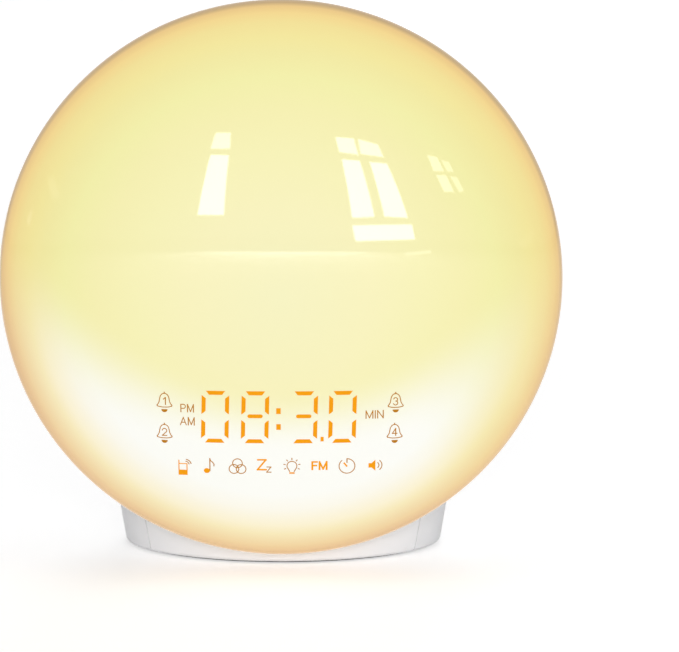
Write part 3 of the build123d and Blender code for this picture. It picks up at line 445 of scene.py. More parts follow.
def polar_line(x, z, near, far, angle):
    """Line that points away from a centre, between two radii."""
    return [arc(x, z, radius, angle, angle, 1)[0] for radius in (near, far)]


def print_sign(name, sign, place, lay, inks, body, width, scale=1.0):
    """Pieces of one sign, laid on a surface by lay(x, z, height), with an ink for each layer."""
    sized = {kind: [[(x * scale * MM, z * scale * MM) for x, z in line] for line in lines]
             for kind, lines in sign.items()}
    pieces = []
    for (layer, strokes, fills), ink in zip(SIGN_LAYERS, inks):
        bm = bmesh.new()
        for kind, share in strokes:
            if kind in sized:
                add_strokes(bm, sized[kind], width * share)
        if fills in sized:
            add_fills(bm, sized[fills], INK_DEPTH)
        if bm.verts:
            settle(bm, place, lay)
            pieces.append(link_piece(f"{name}_{layer}", mesh_from(bm, name), ink, body, smooth=False))
    return pieces


def settle(bm, place, lay):
    """Cuts a flat print into small cells and lays each corner on its surface."""
    xs = [vert.co.x for vert in bm.verts]
    zs = [vert.co.z for vert in bm.verts]
    for low, high, normal in ((min(xs), max(xs), (1, 0, 0)), (min(zs), max(zs), (0, 0, 1))):
        at = low + PRINT_CELL
        while at < high:
            cut_along(bm, Vector(normal) * at, normal)
            at += PRINT_CELL
    for vert in bm.verts:
        vert.co = lay(place[0] + vert.co.x, place[1] + vert.co.z, -vert.co.y)


def lay_on_dome(x, z, height):
    """Point over the dome's outside, height above the level that prints stand at."""
    point = dome_point(x, z)
    return point + dome_normal(point) * (display().proud + height)


def digit_bars():
    """Outlines of the seven bars of a digit, by name, about the digit's middle."""
    half_width, half_height = display().digit_width / 2, display().digit_height / 2
    bar, gap = display().bar, display().gap
    level_half = half_width - bar
    inner_half = level_half - bar * LEVEL_SLOPE
    level = [(-level_half, half_height), (level_half, half_height), (inner_half, half_height - bar),
             (-inner_half, half_height - bar)]
    top, low = half_height - bar - gap / 3, 2 * gap
    tip_in, tip_up = (bar * share for share in UPRIGHT_TIP)
    slope = bar * UPRIGHT_SLOPE
    upright = [(-half_width, top), (-half_width, low), (-half_width + tip_in, low + tip_up),
               (-half_width + bar, low + slope), (-half_width + bar, top - slope)]
    round_end = arc(level_half - bar * MIDDLE_INSET, MIDDLE_LIFT, bar * MIDDLE_CAP, -90, 90, 8)
    middle = round_end + [(-x, z) for x, z in reversed(round_end)]
    return {
        "top": level,
        "middle": middle,
        "bottom": [(x, -z) for x, z in reversed(level)],
        "upper left": upright,
        "upper right": [(-x, z) for x, z in reversed(upright)],
        "lower left": [(x, -z) for x, z in reversed(upright)],
        "lower right": [(-x, -z) for x, z in upright],
    }


# How thick lines are as a share of their width, how thick plates are, and the cells that follow a surface
INK_SHARE = 0.12
INK_DEPTH = 0.05 * MM
PRINT_CELL = 1.6 * MM
# A line that turns by more is split there, and each end runs on by a share of its width
CORNER = radians(35.0)
END_SHARE = 0.4
# Ends of a digit's bars, as shares of a bar's width, and how far its middle bar stands up
LEVEL_SLOPE = 0.75
UPRIGHT_TIP = (0.5, 0.3)
UPRIGHT_SLOPE = 0.8
MIDDLE_INSET = 0.95
MIDDLE_CAP = 0.47
MIDDLE_LIFT = 0.4 * MM
# Layers of a sign: its lines, each kind with a share of the stroke's width, and the shapes that it fills
BOLD_SHARE = 1.75
SIGN_LAYERS = (
    ("lines", (("lines", 1.0),), "soft"),
    ("bold", (("bright", 1.0), ("bold", BOLD_SHARE)), "fills"),
)
LETTER_GAP = 0.3
# Each letter is its width and its lines, for capitals one unit high
LETTERS = {
    "A": (0.84, [[(0, 0), (0.42, 1), (0.84, 0)], [(0.14, 0.34), (0.7, 0.34)]]),
    "F": (0.58, [[(0, 0), (0, 1), (0.58, 1)], [(0, 0.52), (0.5, 0.52)]]),
    "I": (0.0, [[(0, 0), (0, 1)]]),
    "M": (0.86, [[(0, 0), (0, 1), (0.43, 0.05), (0.86, 1), (0.86, 0)]]),
    "N": (0.7, [[(0, 0), (0, 1), (0.7, 0), (0.7, 1)]]),
    "P": (0.66, [[(0, 0), (0, 1)], [(0, 1)] + arc(0.38, 0.73, 0.27, 90, -90, 10) + [(0, 0.46)]]),
    "1": (0.28, [[(0, 0.74), (0.28, 1), (0.28, 0)]]),
    "2": (0.6, [arc(0.3, 0.7, 0.3, 170, -35, 12) + [(0, 0)], [(0, 0), (0.6, 0)]]),
    "3": (0.58, [arc(0.28, 0.75, 0.26, 160, -80, 12), arc(0.28, 0.26, 0.29, 80, -160, 12)]),
    "4": (0.62, [[(0.45, 0), (0.45, 1), (0, 0.3), (0.62, 0.3)]]),
}
ALL_BARS = ("top", "middle", "bottom", "upper left", "upper right", "lower left", "lower right")
UNLIT_BARS = {
    "0": ("middle",), "1": ("top", "middle", "bottom", "upper left", "lower left"),
    "2": ("upper left", "lower right"), "3": ("upper left", "lower left"),
    "4": ("top", "bottom", "lower left"), "5": ("upper right", "lower left"), "6": ("upper right",),
    "7": ("middle", "bottom", "upper left", "lower left"), "8": (), "9": ("lower left",),
}
DIGIT_PLACES = (-21.7 * MM, -8.4 * MM, 7.8 * MM, 20.7 * MM)
COLON_SIZE = (1.5 * MM, 2.0 * MM)
POINT_SIZE = (1.05 * MM, 1.6 * MM)
COLON_PLACE = -0.6 * MM
COLON_DROPS = (38.9 * MM, 44.5 * MM)
POINT_PLACE = (13.9 * MM, 48.9 * MM)
BELL_PLACES = {"1": (-38.6, -36.3), "2": (-38.7, -47.3), "3": (38.4, -36.4), "4": (38.1, -47.3)}
# Words of the display: place right of and above the dome's middle, and how wide they run
WORD_PLACES = {"PM": (-31.0, -38.3, 0.87), "AM": (-31.0, -42.9, 0.87), "MIN": (31.4, -40.5, 1.0)}
WORD_HEIGHT = 2.65
# Signs of the display: place right of the dome's middle, and how far above the row's middle
SIGN_PLACES = (
    ("phone", sign_phone, -32.2, -0.76), ("note", sign_note, -24.0, 0.0), ("colours", sign_colours, -14.4, 0.0),
    ("sleep", sign_sleep, -5.5, 0.3), ("bulb", sign_bulb, 3.8, 0.0), ("radio", sign_radio, 13.0, 0.3),
    ("timer", sign_timer, 22.2, 0.0), ("wireless", sign_wireless, 31.6, 0.0),
)

# ---------------------------------------------------------------- materials


def feed_socket(tree, socket, value):
    """Gives a socket a plain value, or links another node's output to it."""
    if isinstance(value, bpy.types.NodeSocket):
        tree.links.new(value, socket)
    else:
        socket.default_value = value


def feed(tree, node, values):
    """Feeds a node's sockets, each named with _ for a space."""
    for name, value in values.items():
        feed_socket(tree, node.inputs[name.replace("_", " ")], value)


def make_node(tree, kind, **values):
    """New node with its sockets fed."""
    node = tree.nodes.new(kind)
    feed(tree, node, values)
    return node


def math_node(tree, operation, first, second=0.0):
    """Output of a new Math node."""
    node = tree.nodes.new("ShaderNodeMath")
    node.operation = operation
    for socket, value in zip(node.inputs, (first, second)):
        feed_socket(tree, socket, value)
    return node.outputs[0]


class Finish:
    """A material with a Principled shader and its texture coordinates."""

    def __init__(self, name):
        self.material = bpy.data.materials.new(name)
        self.material.use_nodes = True
        self.tree = self.material.node_tree
        self.shader = self.tree.nodes["Principled BSDF"]
        self.where = self.make("ShaderNodeTexCoord").outputs["Object"]

    def set(self, **values):
        """Feeds sockets of the shader."""
        feed(self.tree, self.shader, values)
        return self

    def make(self, kind, **values):
        """New node of the material."""
        return make_node(self.tree, kind, **values)

    def math(self, operation, first, second=0.0):
        """Output of a new Math node of the material."""
        return math_node(self.tree, operation, first, second)

    def place(self):
        """X, Y and Z of a point of the piece."""
        return self.make("ShaderNodeSeparateXYZ", Vector=self.where).outputs

    def noise(self, scale, detail=3.0):
        """Noise over the piece, with a scale in cells a metre."""
        node = self.make("ShaderNodeTexNoise", Scale=scale, Detail=detail, Roughness=0.5, Vector=self.where)
        return node.outputs["Fac"]

    def smooth_step(self, value, low, high):
        """Smooth climb from 0 to 1 between two values."""
        node = self.make("ShaderNodeMapRange", From_Min=low, From_Max=high, Value=value)
        node.interpolation_type = "SMOOTHERSTEP"
        return node.outputs[0]

    def ramp(self, factor, stops):
        """Colour ramp with stops as (position, linear colour)."""
        node = self.make("ShaderNodeValToRGB", Fac=factor)
        elements = node.color_ramp.elements
        while len(elements) < len(stops):
            elements.new(0.5)
        for element, (position, colour) in zip(elements, stops):
            element.position = position
            element.color = (*colour, 1.0)
        return node.outputs["Color"]

    def mix(self, factor, first, second, blend="MIX"):
        """Mixed colour."""
        node = self.make("ShaderNodeMix")
        node.data_type = "RGBA"
        node.blend_type = blend
        for name, value in (("Factor", factor), ("A", first), ("B", second)):
            socket = [item for item in node.inputs if item.name == name and item.enabled][0]
            feed_socket(self.tree, socket, value)
        return [item for item in node.outputs if item.enabled][0]

    def drift(self, low, high, scale):
        """Colour that drifts between two over the piece."""
        return self.ramp(self.noise(scale), ((DRIFT_FROM, low), (DRIFT_TO, high)))

    def tint(self, colour, spread, scale):
        """Base colour with a slight drift over the piece."""
        low = [channel * (1 - spread) for channel in colour]
        high = [min(1.0, channel * (1 + spread)) for channel in colour]
        return self.set(Base_Color=self.drift(low, high, scale))

    def uneven(self, low, high, scale):
        """Roughness that drifts between two values."""
        level = self.make("ShaderNodeMapRange", To_Min=low, To_Max=high, Value=self.noise(scale))
        return self.set(Roughness=level.outputs[0])

    def grain(self, scale, depth, strength):
        """Fine bumps of a depth in metres."""
        height = self.noise(scale, GRAIN_DETAIL)
        bump = self.make("ShaderNodeBump", Strength=strength, Distance=depth, Height=height)
        return self.set(Normal=bump.outputs["Normal"])

    def groove(self, middle, half_width, share):
        """Painted shade: darkens the base colour inside a narrow band across Y, where a parting groove lies and
        shade falls in it.
        """
        off = self.math("ABSOLUTE", self.math("SUBTRACT", self.place()["Y"], middle))
        inside = self.math("LESS_THAN", off, half_width)
        plain = self.shader.inputs["Base Color"].links[0].from_socket
        painted_shade = self.mix(1.0, plain, (share, share, share, 1.0), "MULTIPLY")
        return self.set(Base_Color=self.mix(inside, plain, painted_shade))

    def lit(self, colour):
        """Light of a colour from inside. The base colour is a share of that lit colour, painted light from
        inside.
        """
        body = self.mix(1.0, colour, (dome().body,) * 3 + (1.0,), "MULTIPLY")
        return self.set(Base_Color=body, Emission_Color=colour, Emission_Strength=dome().light)


# Where a drift between two colours starts and ends on its noise, and how fine a grain's noise is
DRIFT_FROM, DRIFT_TO = 0.3, 0.7
GRAIN_DETAIL = 2.0


def shade(red, green, blue):
    """Linear colour from a display colour of 0 to 255."""
    return [((channel / 255 + 0.055) / 1.055) ** 2.4 if channel > 10 else channel / 255 / 12.92
            for channel in (red, green, blue)]


# Lit colours by share of the dome's radius, plain and in the glow; the last two stops of each, lower at the
# rim's very edge, are painted shade where the rim turns away
LIT_AND_RIM_SHADE_STOPS = (
    (0.0, shade(247, 243, 193)), (0.32, shade(249, 243, 189)), (0.5, shade(248, 243, 183)),
    (0.64, shade(247, 241, 177)), (0.76, shade(245, 241, 170)), (0.84, shade(245, 236, 163)),
    (0.89, shade(247, 234, 157)), (0.935, shade(248, 229, 152)), (0.965, shade(251, 221, 144)),
    (0.985, shade(243, 205, 132)), (0.994, shade(196, 163, 108)), (1.0, shade(180, 148, 100)),
)
GLOW_AND_RIM_SHADE_STOPS = (
    (0.0, shade(255, 255, 250)), (0.73, shade(255, 255, 249)), (0.79, shade(255, 252, 239)),
    (0.855, shade(255, 246, 214)), (0.89, shade(252, 238, 190)), (0.945, shade(246, 216, 161)),
    (0.965, shade(239, 201, 146)), (0.985, shade(224, 180, 120)), (0.995, shade(204, 163, 106)),
    (1.0, shade(214, 176, 124)),
)
# Where the glow starts and stops to fade at the right, as shares of the dome's radius
GLOW_FADE_FROM_TO = (0.4, 0.88)
# How much brighter the lit ink is in places
INK_DRIFT = 1.06


def dome_material():
    """Opal plastic lit from inside: pale yellow, orange at the rim, with a white glow low down and painted shade
    along the rim's very edge.
    """
    sizes, opal = dome(), Finish("opal_dome_lit")
    math, place = opal.math, opal.place()
    across, up = place["X"], math("SUBTRACT", place["Z"], dome_middle().z)
    width = math("MULTIPLY", across, across)
    reach = math("DIVIDE", math("SQRT", math("ADD", width, math("MULTIPLY", up, up))), sizes.radius)
    edge = math("ADD", math("MULTIPLY", width, sizes.glow_rise), sizes.glow_height)
    spread = math("ADD", math("MULTIPLY", width, sizes.glow_spread), 1.0)
    depth = math("DIVIDE", math("SUBTRACT", edge, up), spread)
    below = opal.smooth_step(depth, -sizes.glow_blur, sizes.glow_blur)
    fade = opal.smooth_step(across, *(share * sizes.radius for share in GLOW_FADE_FROM_TO))
    kept = math("SUBTRACT", 1.0, math("MULTIPLY", fade, sizes.glow_fade))
    glow = math("MULTIPLY", below, kept)
    opal.lit(opal.mix(glow, opal.ramp(reach, LIT_AND_RIM_SHADE_STOPS), opal.ramp(reach, GLOW_AND_RIM_SHADE_STOPS)))
    return opal.set(Roughness=0.03, IOR=1.5).material


def ink_material(name, colour):
    """Lit ink of the display, whose base colour is a share of its lit colour as painted light."""
    ink = Finish(name)
    ink.lit(ink.drift(colour, [min(1.0, channel * INK_DRIFT) for channel in colour], 900.0))
    return ink.set(Roughness=0.4, Specular_IOR_Level=0.1).material


def moulded(name, colour, low, high, grain=0.02 * MM):
    """Finish of moulded plastic with a fine grain."""
    return Finish(name).tint(colour, 0.02, 18.0).uneven(low, high, 60.0).grain(2600.0, grain, 0.25)


def plastic(name, colour, low, high, grain=0.02 * MM):
    """Moulded plastic."""
    return moulded(name, colour, low, high, grain).material


def rubber(name, colour):
    """Matt rubber."""
    soft = Finish(name).tint(colour, 0.12, 120.0).uneven(0.72, 0.88, 90.0)
    return soft.grain(3800.0, 0.05 * MM, 0.5).material


def metal(name, colour, low, high):
    """Plated or brushed metal."""
    plated = Finish(name).tint(colour, 0.06, 240.0).uneven(low, high, 500.0)
    return plated.grain(1500.0, 0.01 * MM, 0.3).set(Metallic=1.0).material


def circuit_board(name, colour, copper):
    """Solder mask over copper tracks."""
    board = Finish(name)
    darker = [channel * 0.9 for channel in colour]
    tracks = board.make("ShaderNodeTexBrick", Scale=160.0, Color1=(*colour, 1), Color2=(*darker, 1),
                        Mortar=(*copper, 1), Mortar_Size=0.035, Vector=board.where)
    return board.set(Base_Color=tracks.outputs["Color"]).uneven(0.28, 0.42, 120.0).material


def paint(node, material):
    """Gives a CAD node a material."""
    slots = NODES[node].material_slots
    if slots:
        slots[0].material = material
    else:
        NODES[node].data.materials.append(material)


def body_of_node(node):
    """Name of the body that a CAD node is on."""
    bodies = frame["record"]["behaviour"]["bodies"]
    return [body for body, nodes in bodies.items() if node in nodes][0]


def smooth_copy(node, material):
    """Smoothly shaded copy of a CAD node, in its place."""
    bm = node_skin(node)
    mark_sharp(bm, NODE_CREASE)
    piece = link_piece(f"{node}_shell", mesh_from(bm, f"{node}_shell"), material, body_of_node(node))
    even = piece.modifiers.new("even shading", "WEIGHTED_NORMAL")
    even.keep_sharp = True
    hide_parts(node)
    return piece


def islands(node):
    """Lowest and highest corner of each separate solid of a CAD node."""
    bm = node_skin(node)
    left = set(bm.verts)
    boxes = []
    while left:
        group, edge = set(), {left.pop()}
        while edge:
            group |= edge
            edge = {other for vert in edge for link in vert.link_edges for other in link.verts} - group
        left -= group
        corners = [vert.co for vert in group]
        boxes.append((Vector([min(corner[axis] for corner in corners) for axis in range(3)]),
                      Vector([max(corner[axis] for corner in corners) for axis in range(3)])))
    bm.free()
    return sorted(boxes, key=lambda box: (round(box[0].z, 4), round(box[0].x, 4)))


# Edges that turn by more are shaded as sharp: on a CAD node, on the dome and on a screw
NODE_CREASE = radians(28.0)
DOME_CREASE = radians(40.0)
SCREW_CREASE = radians(35.0)

# ---------------------------------------------------------------- operators


def quarter(wide, deep, angles):
    """Points (radius, forward) of a quarter ellipse at some angles."""
    return [(wide * cos(angle), deep * sin(angle)) for angle in angles]


LIP_STEPS = 8
# First step of the dome's inside, clear of the skirt
INSIDE_START = 4


class CLOCK_OT_dome(bpy.types.Operator):
    """Make the opal dome with its rounded lip and skirt"""

    bl_idname = "clock.dome"
    bl_label = "Dome"

    def execute(self, context):
        sizes = dome()
        radius, bulge, wall = sizes.radius, dome_bulge(), sizes.wall
        groove = radius - sizes.lip_step
        outside = quarter(radius, bulge, [pi / 2 * (1 - step / sizes.rings) for step in range(sizes.rings + 1)])
        turns = [pi / 2 * step / LIP_STEPS for step in range(1, LIP_STEPS + 1)]
        lip = [(groove + out, -back) for out, back in quarter(sizes.lip_step, sizes.lip_depth, turns)]
        skirt_outer = groove - 3 * wall / 2
        behind = [(groove, sizes.lip_depth), (skirt_outer, sizes.lip_depth), (skirt_outer, -sizes.skirt),
                  (skirt_outer - wall, -sizes.skirt), (skirt_outer - wall, sizes.lip_depth)]
        turns = [pi / 2 * step * 2 / sizes.rings for step in range(INSIDE_START, sizes.rings // 2 + 1)]
        inside = quarter(radius - wall, bulge - wall, turns)
        bm = spun(outside + lip + behind + inside, dome_middle(), Vector((0, -1, 0)), sizes.segments)
        mark_sharp(bm, DOME_CREASE)
        piece = link_piece("dome", mesh_from(bm, "dome"), dome_material(), "housing")
        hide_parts("dome_lens")
        return {"FINISHED"}


class CLOCK_OT_display(bpy.types.Operator):
    """Lay the lit digits, signs and words on the dome"""

    bl_idname = "clock.display"
    bl_label = "Display"

    def execute(self, context):
        sizes = display()
        lit = ink_material("display_lit", list(sizes.colour))
        inks = (ink_material("display_lit_fine", list(sizes.fine_colour)), lit)
        outlines = digit_bars()
        lean = sin(sizes.slant)
        for number, (digit, x) in enumerate(zip(sizes.time, DIGIT_PLACES), start=1):
            bars = [outlines[name] for name in ALL_BARS if name not in UNLIT_BARS[digit]]
            leaning = [[(right + up * lean, up) for right, up in bar] for bar in bars]
            plate(f"digit_{number}", leaning, (x, -sizes.drop), lit)
        dots = [(COLON_SIZE, COLON_PLACE, drop) for drop in COLON_DROPS] + [(POINT_SIZE, *POINT_PLACE)]
        for number, ((width, height), x, drop) in enumerate(dots, start=1):
            corners = [(-width / 2, height / 2), (width / 2, height / 2), (width / 2, -height / 2),
                       (-width / 2, -height / 2)]
            plate(f"dot_{number}", [corners], (x, -drop), lit)
        signs = [(f"bell_{number}", sign_bell(number), x, z) for number, (x, z) in BELL_PLACES.items()]
        signs += [(f"word_{word.lower()}", {"lines": word_strokes(word, WORD_HEIGHT, spread)}, x, z)
                  for word, (x, z, spread) in WORD_PLACES.items()]
        signs += [(f"sign_{name}", sign(), x, lift - sizes.sign_drop / MM)
                  for name, sign, x, lift in SIGN_PLACES]
        for name, sign, x, z in signs:
            print_sign(name, sign, (x * MM, z * MM), lay_on_dome, inks, "housing", sizes.stroke)
        return {"FINISHED"}


def plate(name, outlines, place, ink):
    """Lit plates of the display, laid on the dome."""
    bm = bmesh.new()
    add_fills(bm, outlines, INK_DEPTH)
    settle(bm, place, lay_on_dome)
    link_piece(name, mesh_from(bm, name), ink, "housing", smooth=False)


# Painted shade in the parting groove between the housings: its middle behind the dome's rim, its half width, and
# how much the painted shade darkens the case
GROOVE_DEPTH = 23.65 * MM
GROOVE_HALF = 0.2 * MM
GROOVE_PAINTED_SHADE = 0.78


class CLOCK_OT_case(bpy.types.Operator):
    """Finish the white case, the base plate and the rubber ring"""

    bl_idname = "clock.case"
    bl_label = "Case"

    def execute(self, context):
        shell = moulded("case_white", list(finish().case), 0.26, 0.34)
        # The white case gets painted shade in the parting groove between the housings
        white = shell.groove(dome_middle().y + GROOVE_DEPTH, GROOVE_HALF, GROOVE_PAINTED_SHADE).material
        for node in ("front_housing", "rear_housing"):
            smooth_copy(node, white)
        grey = plastic("base_grey", list(finish().base), 0.45, 0.6, 0.04 * MM)
        for node in ("base_plate", "battery_door"):
            smooth_copy(node, grey)
        smooth_copy("foot_ring", rubber("ring_rubber", (0.06, 0.06, 0.065)))
        return {"FINISHED"}


KEY_SIGNS = {
    "key_left_1": lambda: sign_bell("1"), "key_left_2": lambda: sign_bell("2"),
    "key_left_3": sign_timer, "key_left_4": sign_note,
    "key_right_1": sign_sun, "key_right_2": sign_plus,
    "key_right_3": sign_minus, "key_right_4": sign_radio,
    "snooze_bar": sign_sleep,
}
KEY_SIGN_SCALE = 0.85
KEY_STROKE = 0.4 * MM
# How far outside a key a print starts from, before it is dropped on the key's face
KEY_LOOK = 30.0 * MM


class CLOCK_OT_keys(bpy.types.Operator):
    """Finish the keys and print a sign on each"""

    bl_idname = "clock.keys"
    bl_label = "Keys"

    def execute(self, context):
        white = plastic("key_white", list(finish().key), 0.34, 0.42, 0.03 * MM)
        ink = Finish("key_print").tint(list(finish().print_grey), 0.05, 200.0).uneven(0.5, 0.6, 200.0).material
        for node, sign in KEY_SIGNS.items():
            shell = smooth_copy(node, white)
            low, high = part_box(node)
            middle = (low + high) / 2
            spread = middle - dome_middle()
            outward = Vector((spread.x, 0, spread.z)).normalized()
            if node == "snooze_bar":
                right, up = Vector((1, 0, 0)), Vector((0, 1, 0))
            else:
                up = Vector((-outward.z, 0, outward.x)) * (1 if outward.x > 0 else -1)
                right = up.cross(outward)
            face = BVHTree.FromObject(shell, context.evaluated_depsgraph_get())

            def lay_on_key(x, z, height):
                start = middle + right * x + up * z + outward * KEY_LOOK
                hit, normal, _, _ = face.ray_cast(start, -outward)
                return hit + normal * (display().proud + height)

            for piece in print_sign(f"print_{node}", sign(), (0.0, 0.0), lay_on_key, (ink, ink),
                                    body_of_node(node), KEY_STROKE, KEY_SIGN_SCALE):
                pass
        return {"FINISHED"}


ZINC = (0.55, 0.55, 0.56)
# Pan head from the middle of its top outwards: shares of its radius and, downwards, of its height
HEAD_OUTLINE = ((0.0, 0.0), (0.55, 0.0), (0.85, 0.12), (0.97, 0.4), (1.0, 0.75), (1.0, 1.0))
# The head's height, and the sizes of its cross: shares of the head's radius
HEAD_SHARE = 0.66
CROSS_HALF = 0.11
CROSS_REACH = 0.56
CROSS_DEPTH = 0.35
FLAT_WITHIN = 0.02
SHANK_SHARE = 0.5


class CLOCK_OT_fasteners(bpy.types.Operator):
    """Make pan-head screws with a cross recess where screws show"""

    bl_idname = "clock.fasteners"
    bl_label = "Fasteners"

    def execute(self, context):
        steel = metal("screw_zinc", ZINC, 0.28, 0.42)
        for node, axis in (("case_screws", Vector((0, 1, 0))), ("base_screws", Vector((0, 0, -1))),
                           ("door_screw", Vector((0, 0, -1)))):
            bm = bmesh.new()
            for low, high in islands(node):
                add_screw(bm, low, high, axis)
            piece = link_piece(f"{node}_cross_head", mesh_from(bm, node), steel, "housing")
            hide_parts(node)
        return {"FINISHED"}


def add_screw(bm, low, high, axis):
    """Adds a pan-head screw that fills a box; its head looks along axis."""
    extent = high - low
    length = abs(extent.dot(axis))
    side = [extent[index] for index in range(3) if abs(axis[index]) < 0.5]
    head = min(side) / 2
    top = (low + high) / 2 + axis * length / 2
    height = head * HEAD_SHARE
    shank = head * SHANK_SHARE
    outline = [(head * out, -height * down) for out, down in HEAD_OUTLINE]
    outline += [(shank, -height), (shank, shank - length), (0.0, -length)]
    screw = spun(outline, top, axis, 28)
    mark_sharp(screw, SCREW_CREASE)
    cut_cross(screw, top, axis, head)
    mesh = mesh_from(screw, "screw")
    bm.from_mesh(mesh)
    bpy.data.meshes.remove(mesh)


def cut_cross(screw, top, axis, head):
    """Sinks a cross into the head's flat top."""
    across = axis.orthogonal().normalized()
    along = axis.cross(across)
    slot_half = head * CROSS_HALF
    for normal in (across, along):
        for shift in (-slot_half, slot_half):
            cut_along(screw, top + normal * shift, normal)
    sunk = []
    for face in screw.faces:
        offset = face.calc_center_median() - top
        x, y = offset.dot(across), offset.dot(along)
        near = offset.length < head * CROSS_REACH and abs(offset.dot(axis)) < head * FLAT_WITHIN
        if near and min(abs(x), abs(y)) < slot_half:
            sunk.append(face)
    push_faces(screw, sunk, -axis * head * CROSS_DEPTH)
    bmesh.ops.delete(screw, geom=sunk, context="FACES")
    bmesh.ops.recalc_face_normals(screw, faces=screw.faces)


class CLOCK_OT_inside(bpy.types.Operator):
    """Finish the boards, the loudspeaker, the sockets and the rest of the inside"""

    bl_idname = "clock.inside"
    bl_label = "Inside"

    def execute(self, context):
        plungers = [f"plunger_{side}_{number}" for side in ("left", "right") for number in range(1, 5)]
        groups = (
            (circuit_board("board_green", (0.012, 0.10, 0.04), (0.03, 0.20, 0.08)),
             ("display_board", "key_board", "main_board", "port_board")),
            (circuit_board("board_white", (0.78, 0.79, 0.78), (0.70, 0.71, 0.70)), ("light_board",)),
            (metal("inner_zinc", ZINC, 0.3, 0.45),
             ("coin_cell", "reflector_screws", "display_screws", "shroud_screws", "key_board_screws",
              "main_board_screws", "speaker_screws", "port_screws")),
            (metal("socket_nickel", (0.66, 0.64, 0.60), 0.18, 0.3),
             ("battery_contacts", "usb_socket", "radio_module")),
            (plastic("black_moulding", (0.012, 0.012, 0.013), 0.38, 0.5),
             ("key_switches", "main_chips", "power_jack")),
            (plastic("shroud_black", (0.01, 0.01, 0.01), 0.6, 0.75, 0.05 * MM), ("display_shroud",)),
            (plastic("reflector_white", (0.86, 0.86, 0.84), 0.5, 0.62), ("reflector",)),
            (plastic("diode_phosphor", (0.85, 0.62, 0.12), 0.2, 0.3), ("light_diodes", "display_diodes")),
            (plastic("nylon_natural", (0.80, 0.76, 0.66), 0.35, 0.5), ("board_connectors",)),
            (plastic("capacitor_sleeve", (0.02, 0.03, 0.06), 0.3, 0.4), ("capacitors",)),
            (plastic("plunger_brown", (0.22, 0.05, 0.03), 0.4, 0.5), (*plungers, "plunger_snooze")),
            (rubber("cone_paper", (0.02, 0.02, 0.021)), ("speaker_cone",)),
            (rubber("foam_black", (0.015, 0.015, 0.015)), ("speaker_gasket",)),
            (rubber("roll_rubber", (0.03, 0.03, 0.03)), ("speaker_surround",)),
            (metal("basket_black_zinc", (0.09, 0.09, 0.095), 0.35, 0.5), ("speaker_frame", "speaker_iron")),
            (plastic("ferrite_grey", (0.05, 0.05, 0.053), 0.55, 0.7), ("speaker_magnet",)),
            (plastic("ribbon_white", (0.70, 0.70, 0.68), 0.4, 0.5), ("display_cable",)),
        )
        for material, nodes in groups:
            for node in nodes:
                paint(node, material)
        return {"FINISHED"}


# Where each window pane's highlight lies on the dome: corners in millimetres right of and above its middle
PANES = (
    (((-21.1, 54.0), (-16.1, 54.1), (-16.3, 48.9), (-22.8, 48.8)), 0.75),
    (((-22.8, 46.9), (-16.7, 46.8), (-18.4, 27.3), (-27.1, 27.2)), 1.0),
    (((18.3, 52.7), (24.4, 52.1), (25.9, 46.8), (19.6, 47.8)), 0.85),
    (((25.8, 51.9), (32.4, 50.0), (34.3, 45.8), (26.7, 47.0)), 0.8),
    (((20.4, 45.5), (26.4, 44.9), (31.3, 26.5), (23.9, 26.3)), 1.0),
    (((29.6, 44.4), (35.4, 43.8), (42.3, 25.9), (34.5, 26.5)), 1.0),
    (((23.9, 23.8), (43.6, 23.7), (44.7, 18.7), (25.0, 18.6)), 1.0),
    (((48.6, 46.2), (51.9, 45.4), (54.3, 40.6), (50.8, 40.8)), 0.5),
    (((53.3, 44.4), (55.9, 43.6), (57.6, 40.3), (55.3, 40.5)), 0.4),
    (((51.6, 39.6), (54.9, 39.4), (57.6, 33.8), (54.3, 33.9)), 0.5),
    (((56.2, 39.0), (58.6, 38.6), (60.9, 33.9), (59.3, 33.7)), 0.4),
    (((41.3, 14.5), (50.0, 15.0), (50.0, 14.0), (41.3, 13.5)), 0.3),
    (((-77.3, 37.0), (-75.2, 37.8), (-73.1, 31.5), (-75.9, 30.0)), 0.13),
    (((-71.4, 37.5), (-71.1, 39.5), (-66.3, 42.1), (-67.0, 39.8)), 0.09),
    (((-84.9, 21.9), (-83.5, 25.7), (-82.5, 25.8), (-83.5, 20.8)), 0.16),
    (((-82.5, 15.9), (-80.1, 16.5), (-79.4, 11.3), (-82.2, 11.6)), 0.08),
    (((79.1, 15.6), (83.9, 19.7), (85.3, 18.2), (81.2, 13.7)), 0.1),
    (((81.3, 1.3), (87.1, 6.3), (87.8, -1.2), (82.3, -2.9)), 0.08),
    (((76.3, -39.9), (83.9, -17.3), (85.3, -17.5), (78.1, -41.0)), 0.1),
)
SOFTBOXES = (
    ("softbox_front", (0.0, -1.9, 0.3), 0.9, 30.0),
    ("softbox_left", (-1.2, -1.0, 1.5), 1.1, 1.5),
    ("softbox_right", (1.3, -0.8, 1.1), 1.0, 3.0),
    ("softbox_top", (0.0, 0.2, 1.9), 1.4, 6.0),
    ("softbox_back", (0.3, 1.6, 1.2), 1.2, 10.0),
)
# How white the surroundings are where the gloss mirrors them, beside how white they are where they are seen
MIRRORED_SHARE = 0.72
WORLD_LIGHT = 0.2
# Share of the way to the floor at which a pane stops, the floor's width, and its own light where it is seen
FLOOR_CLEARANCE = 0.85
FLOOR_SIZE = 12.0
FLOOR_LIFT = 0.48
# Width of the camera's picture in millimetres, and the nearest and farthest that it sees
SENSOR_WIDTH = 36.0
CLIP_FROM_TO = (0.05, 50.0)


class CLOCK_OT_stage(bpy.types.Operator):
    """Set the camera, the floor, the windows and the soft lights"""

    bl_idname = "clock.stage"
    bl_label = "Stage"

    def execute(self, context):
        scene = context.scene
        scene.view_settings.view_transform = "Standard"
        place_windows(place_camera(scene))
        place_lights()
        place_floor()
        light_world(scene)
        return {"FINISHED"}


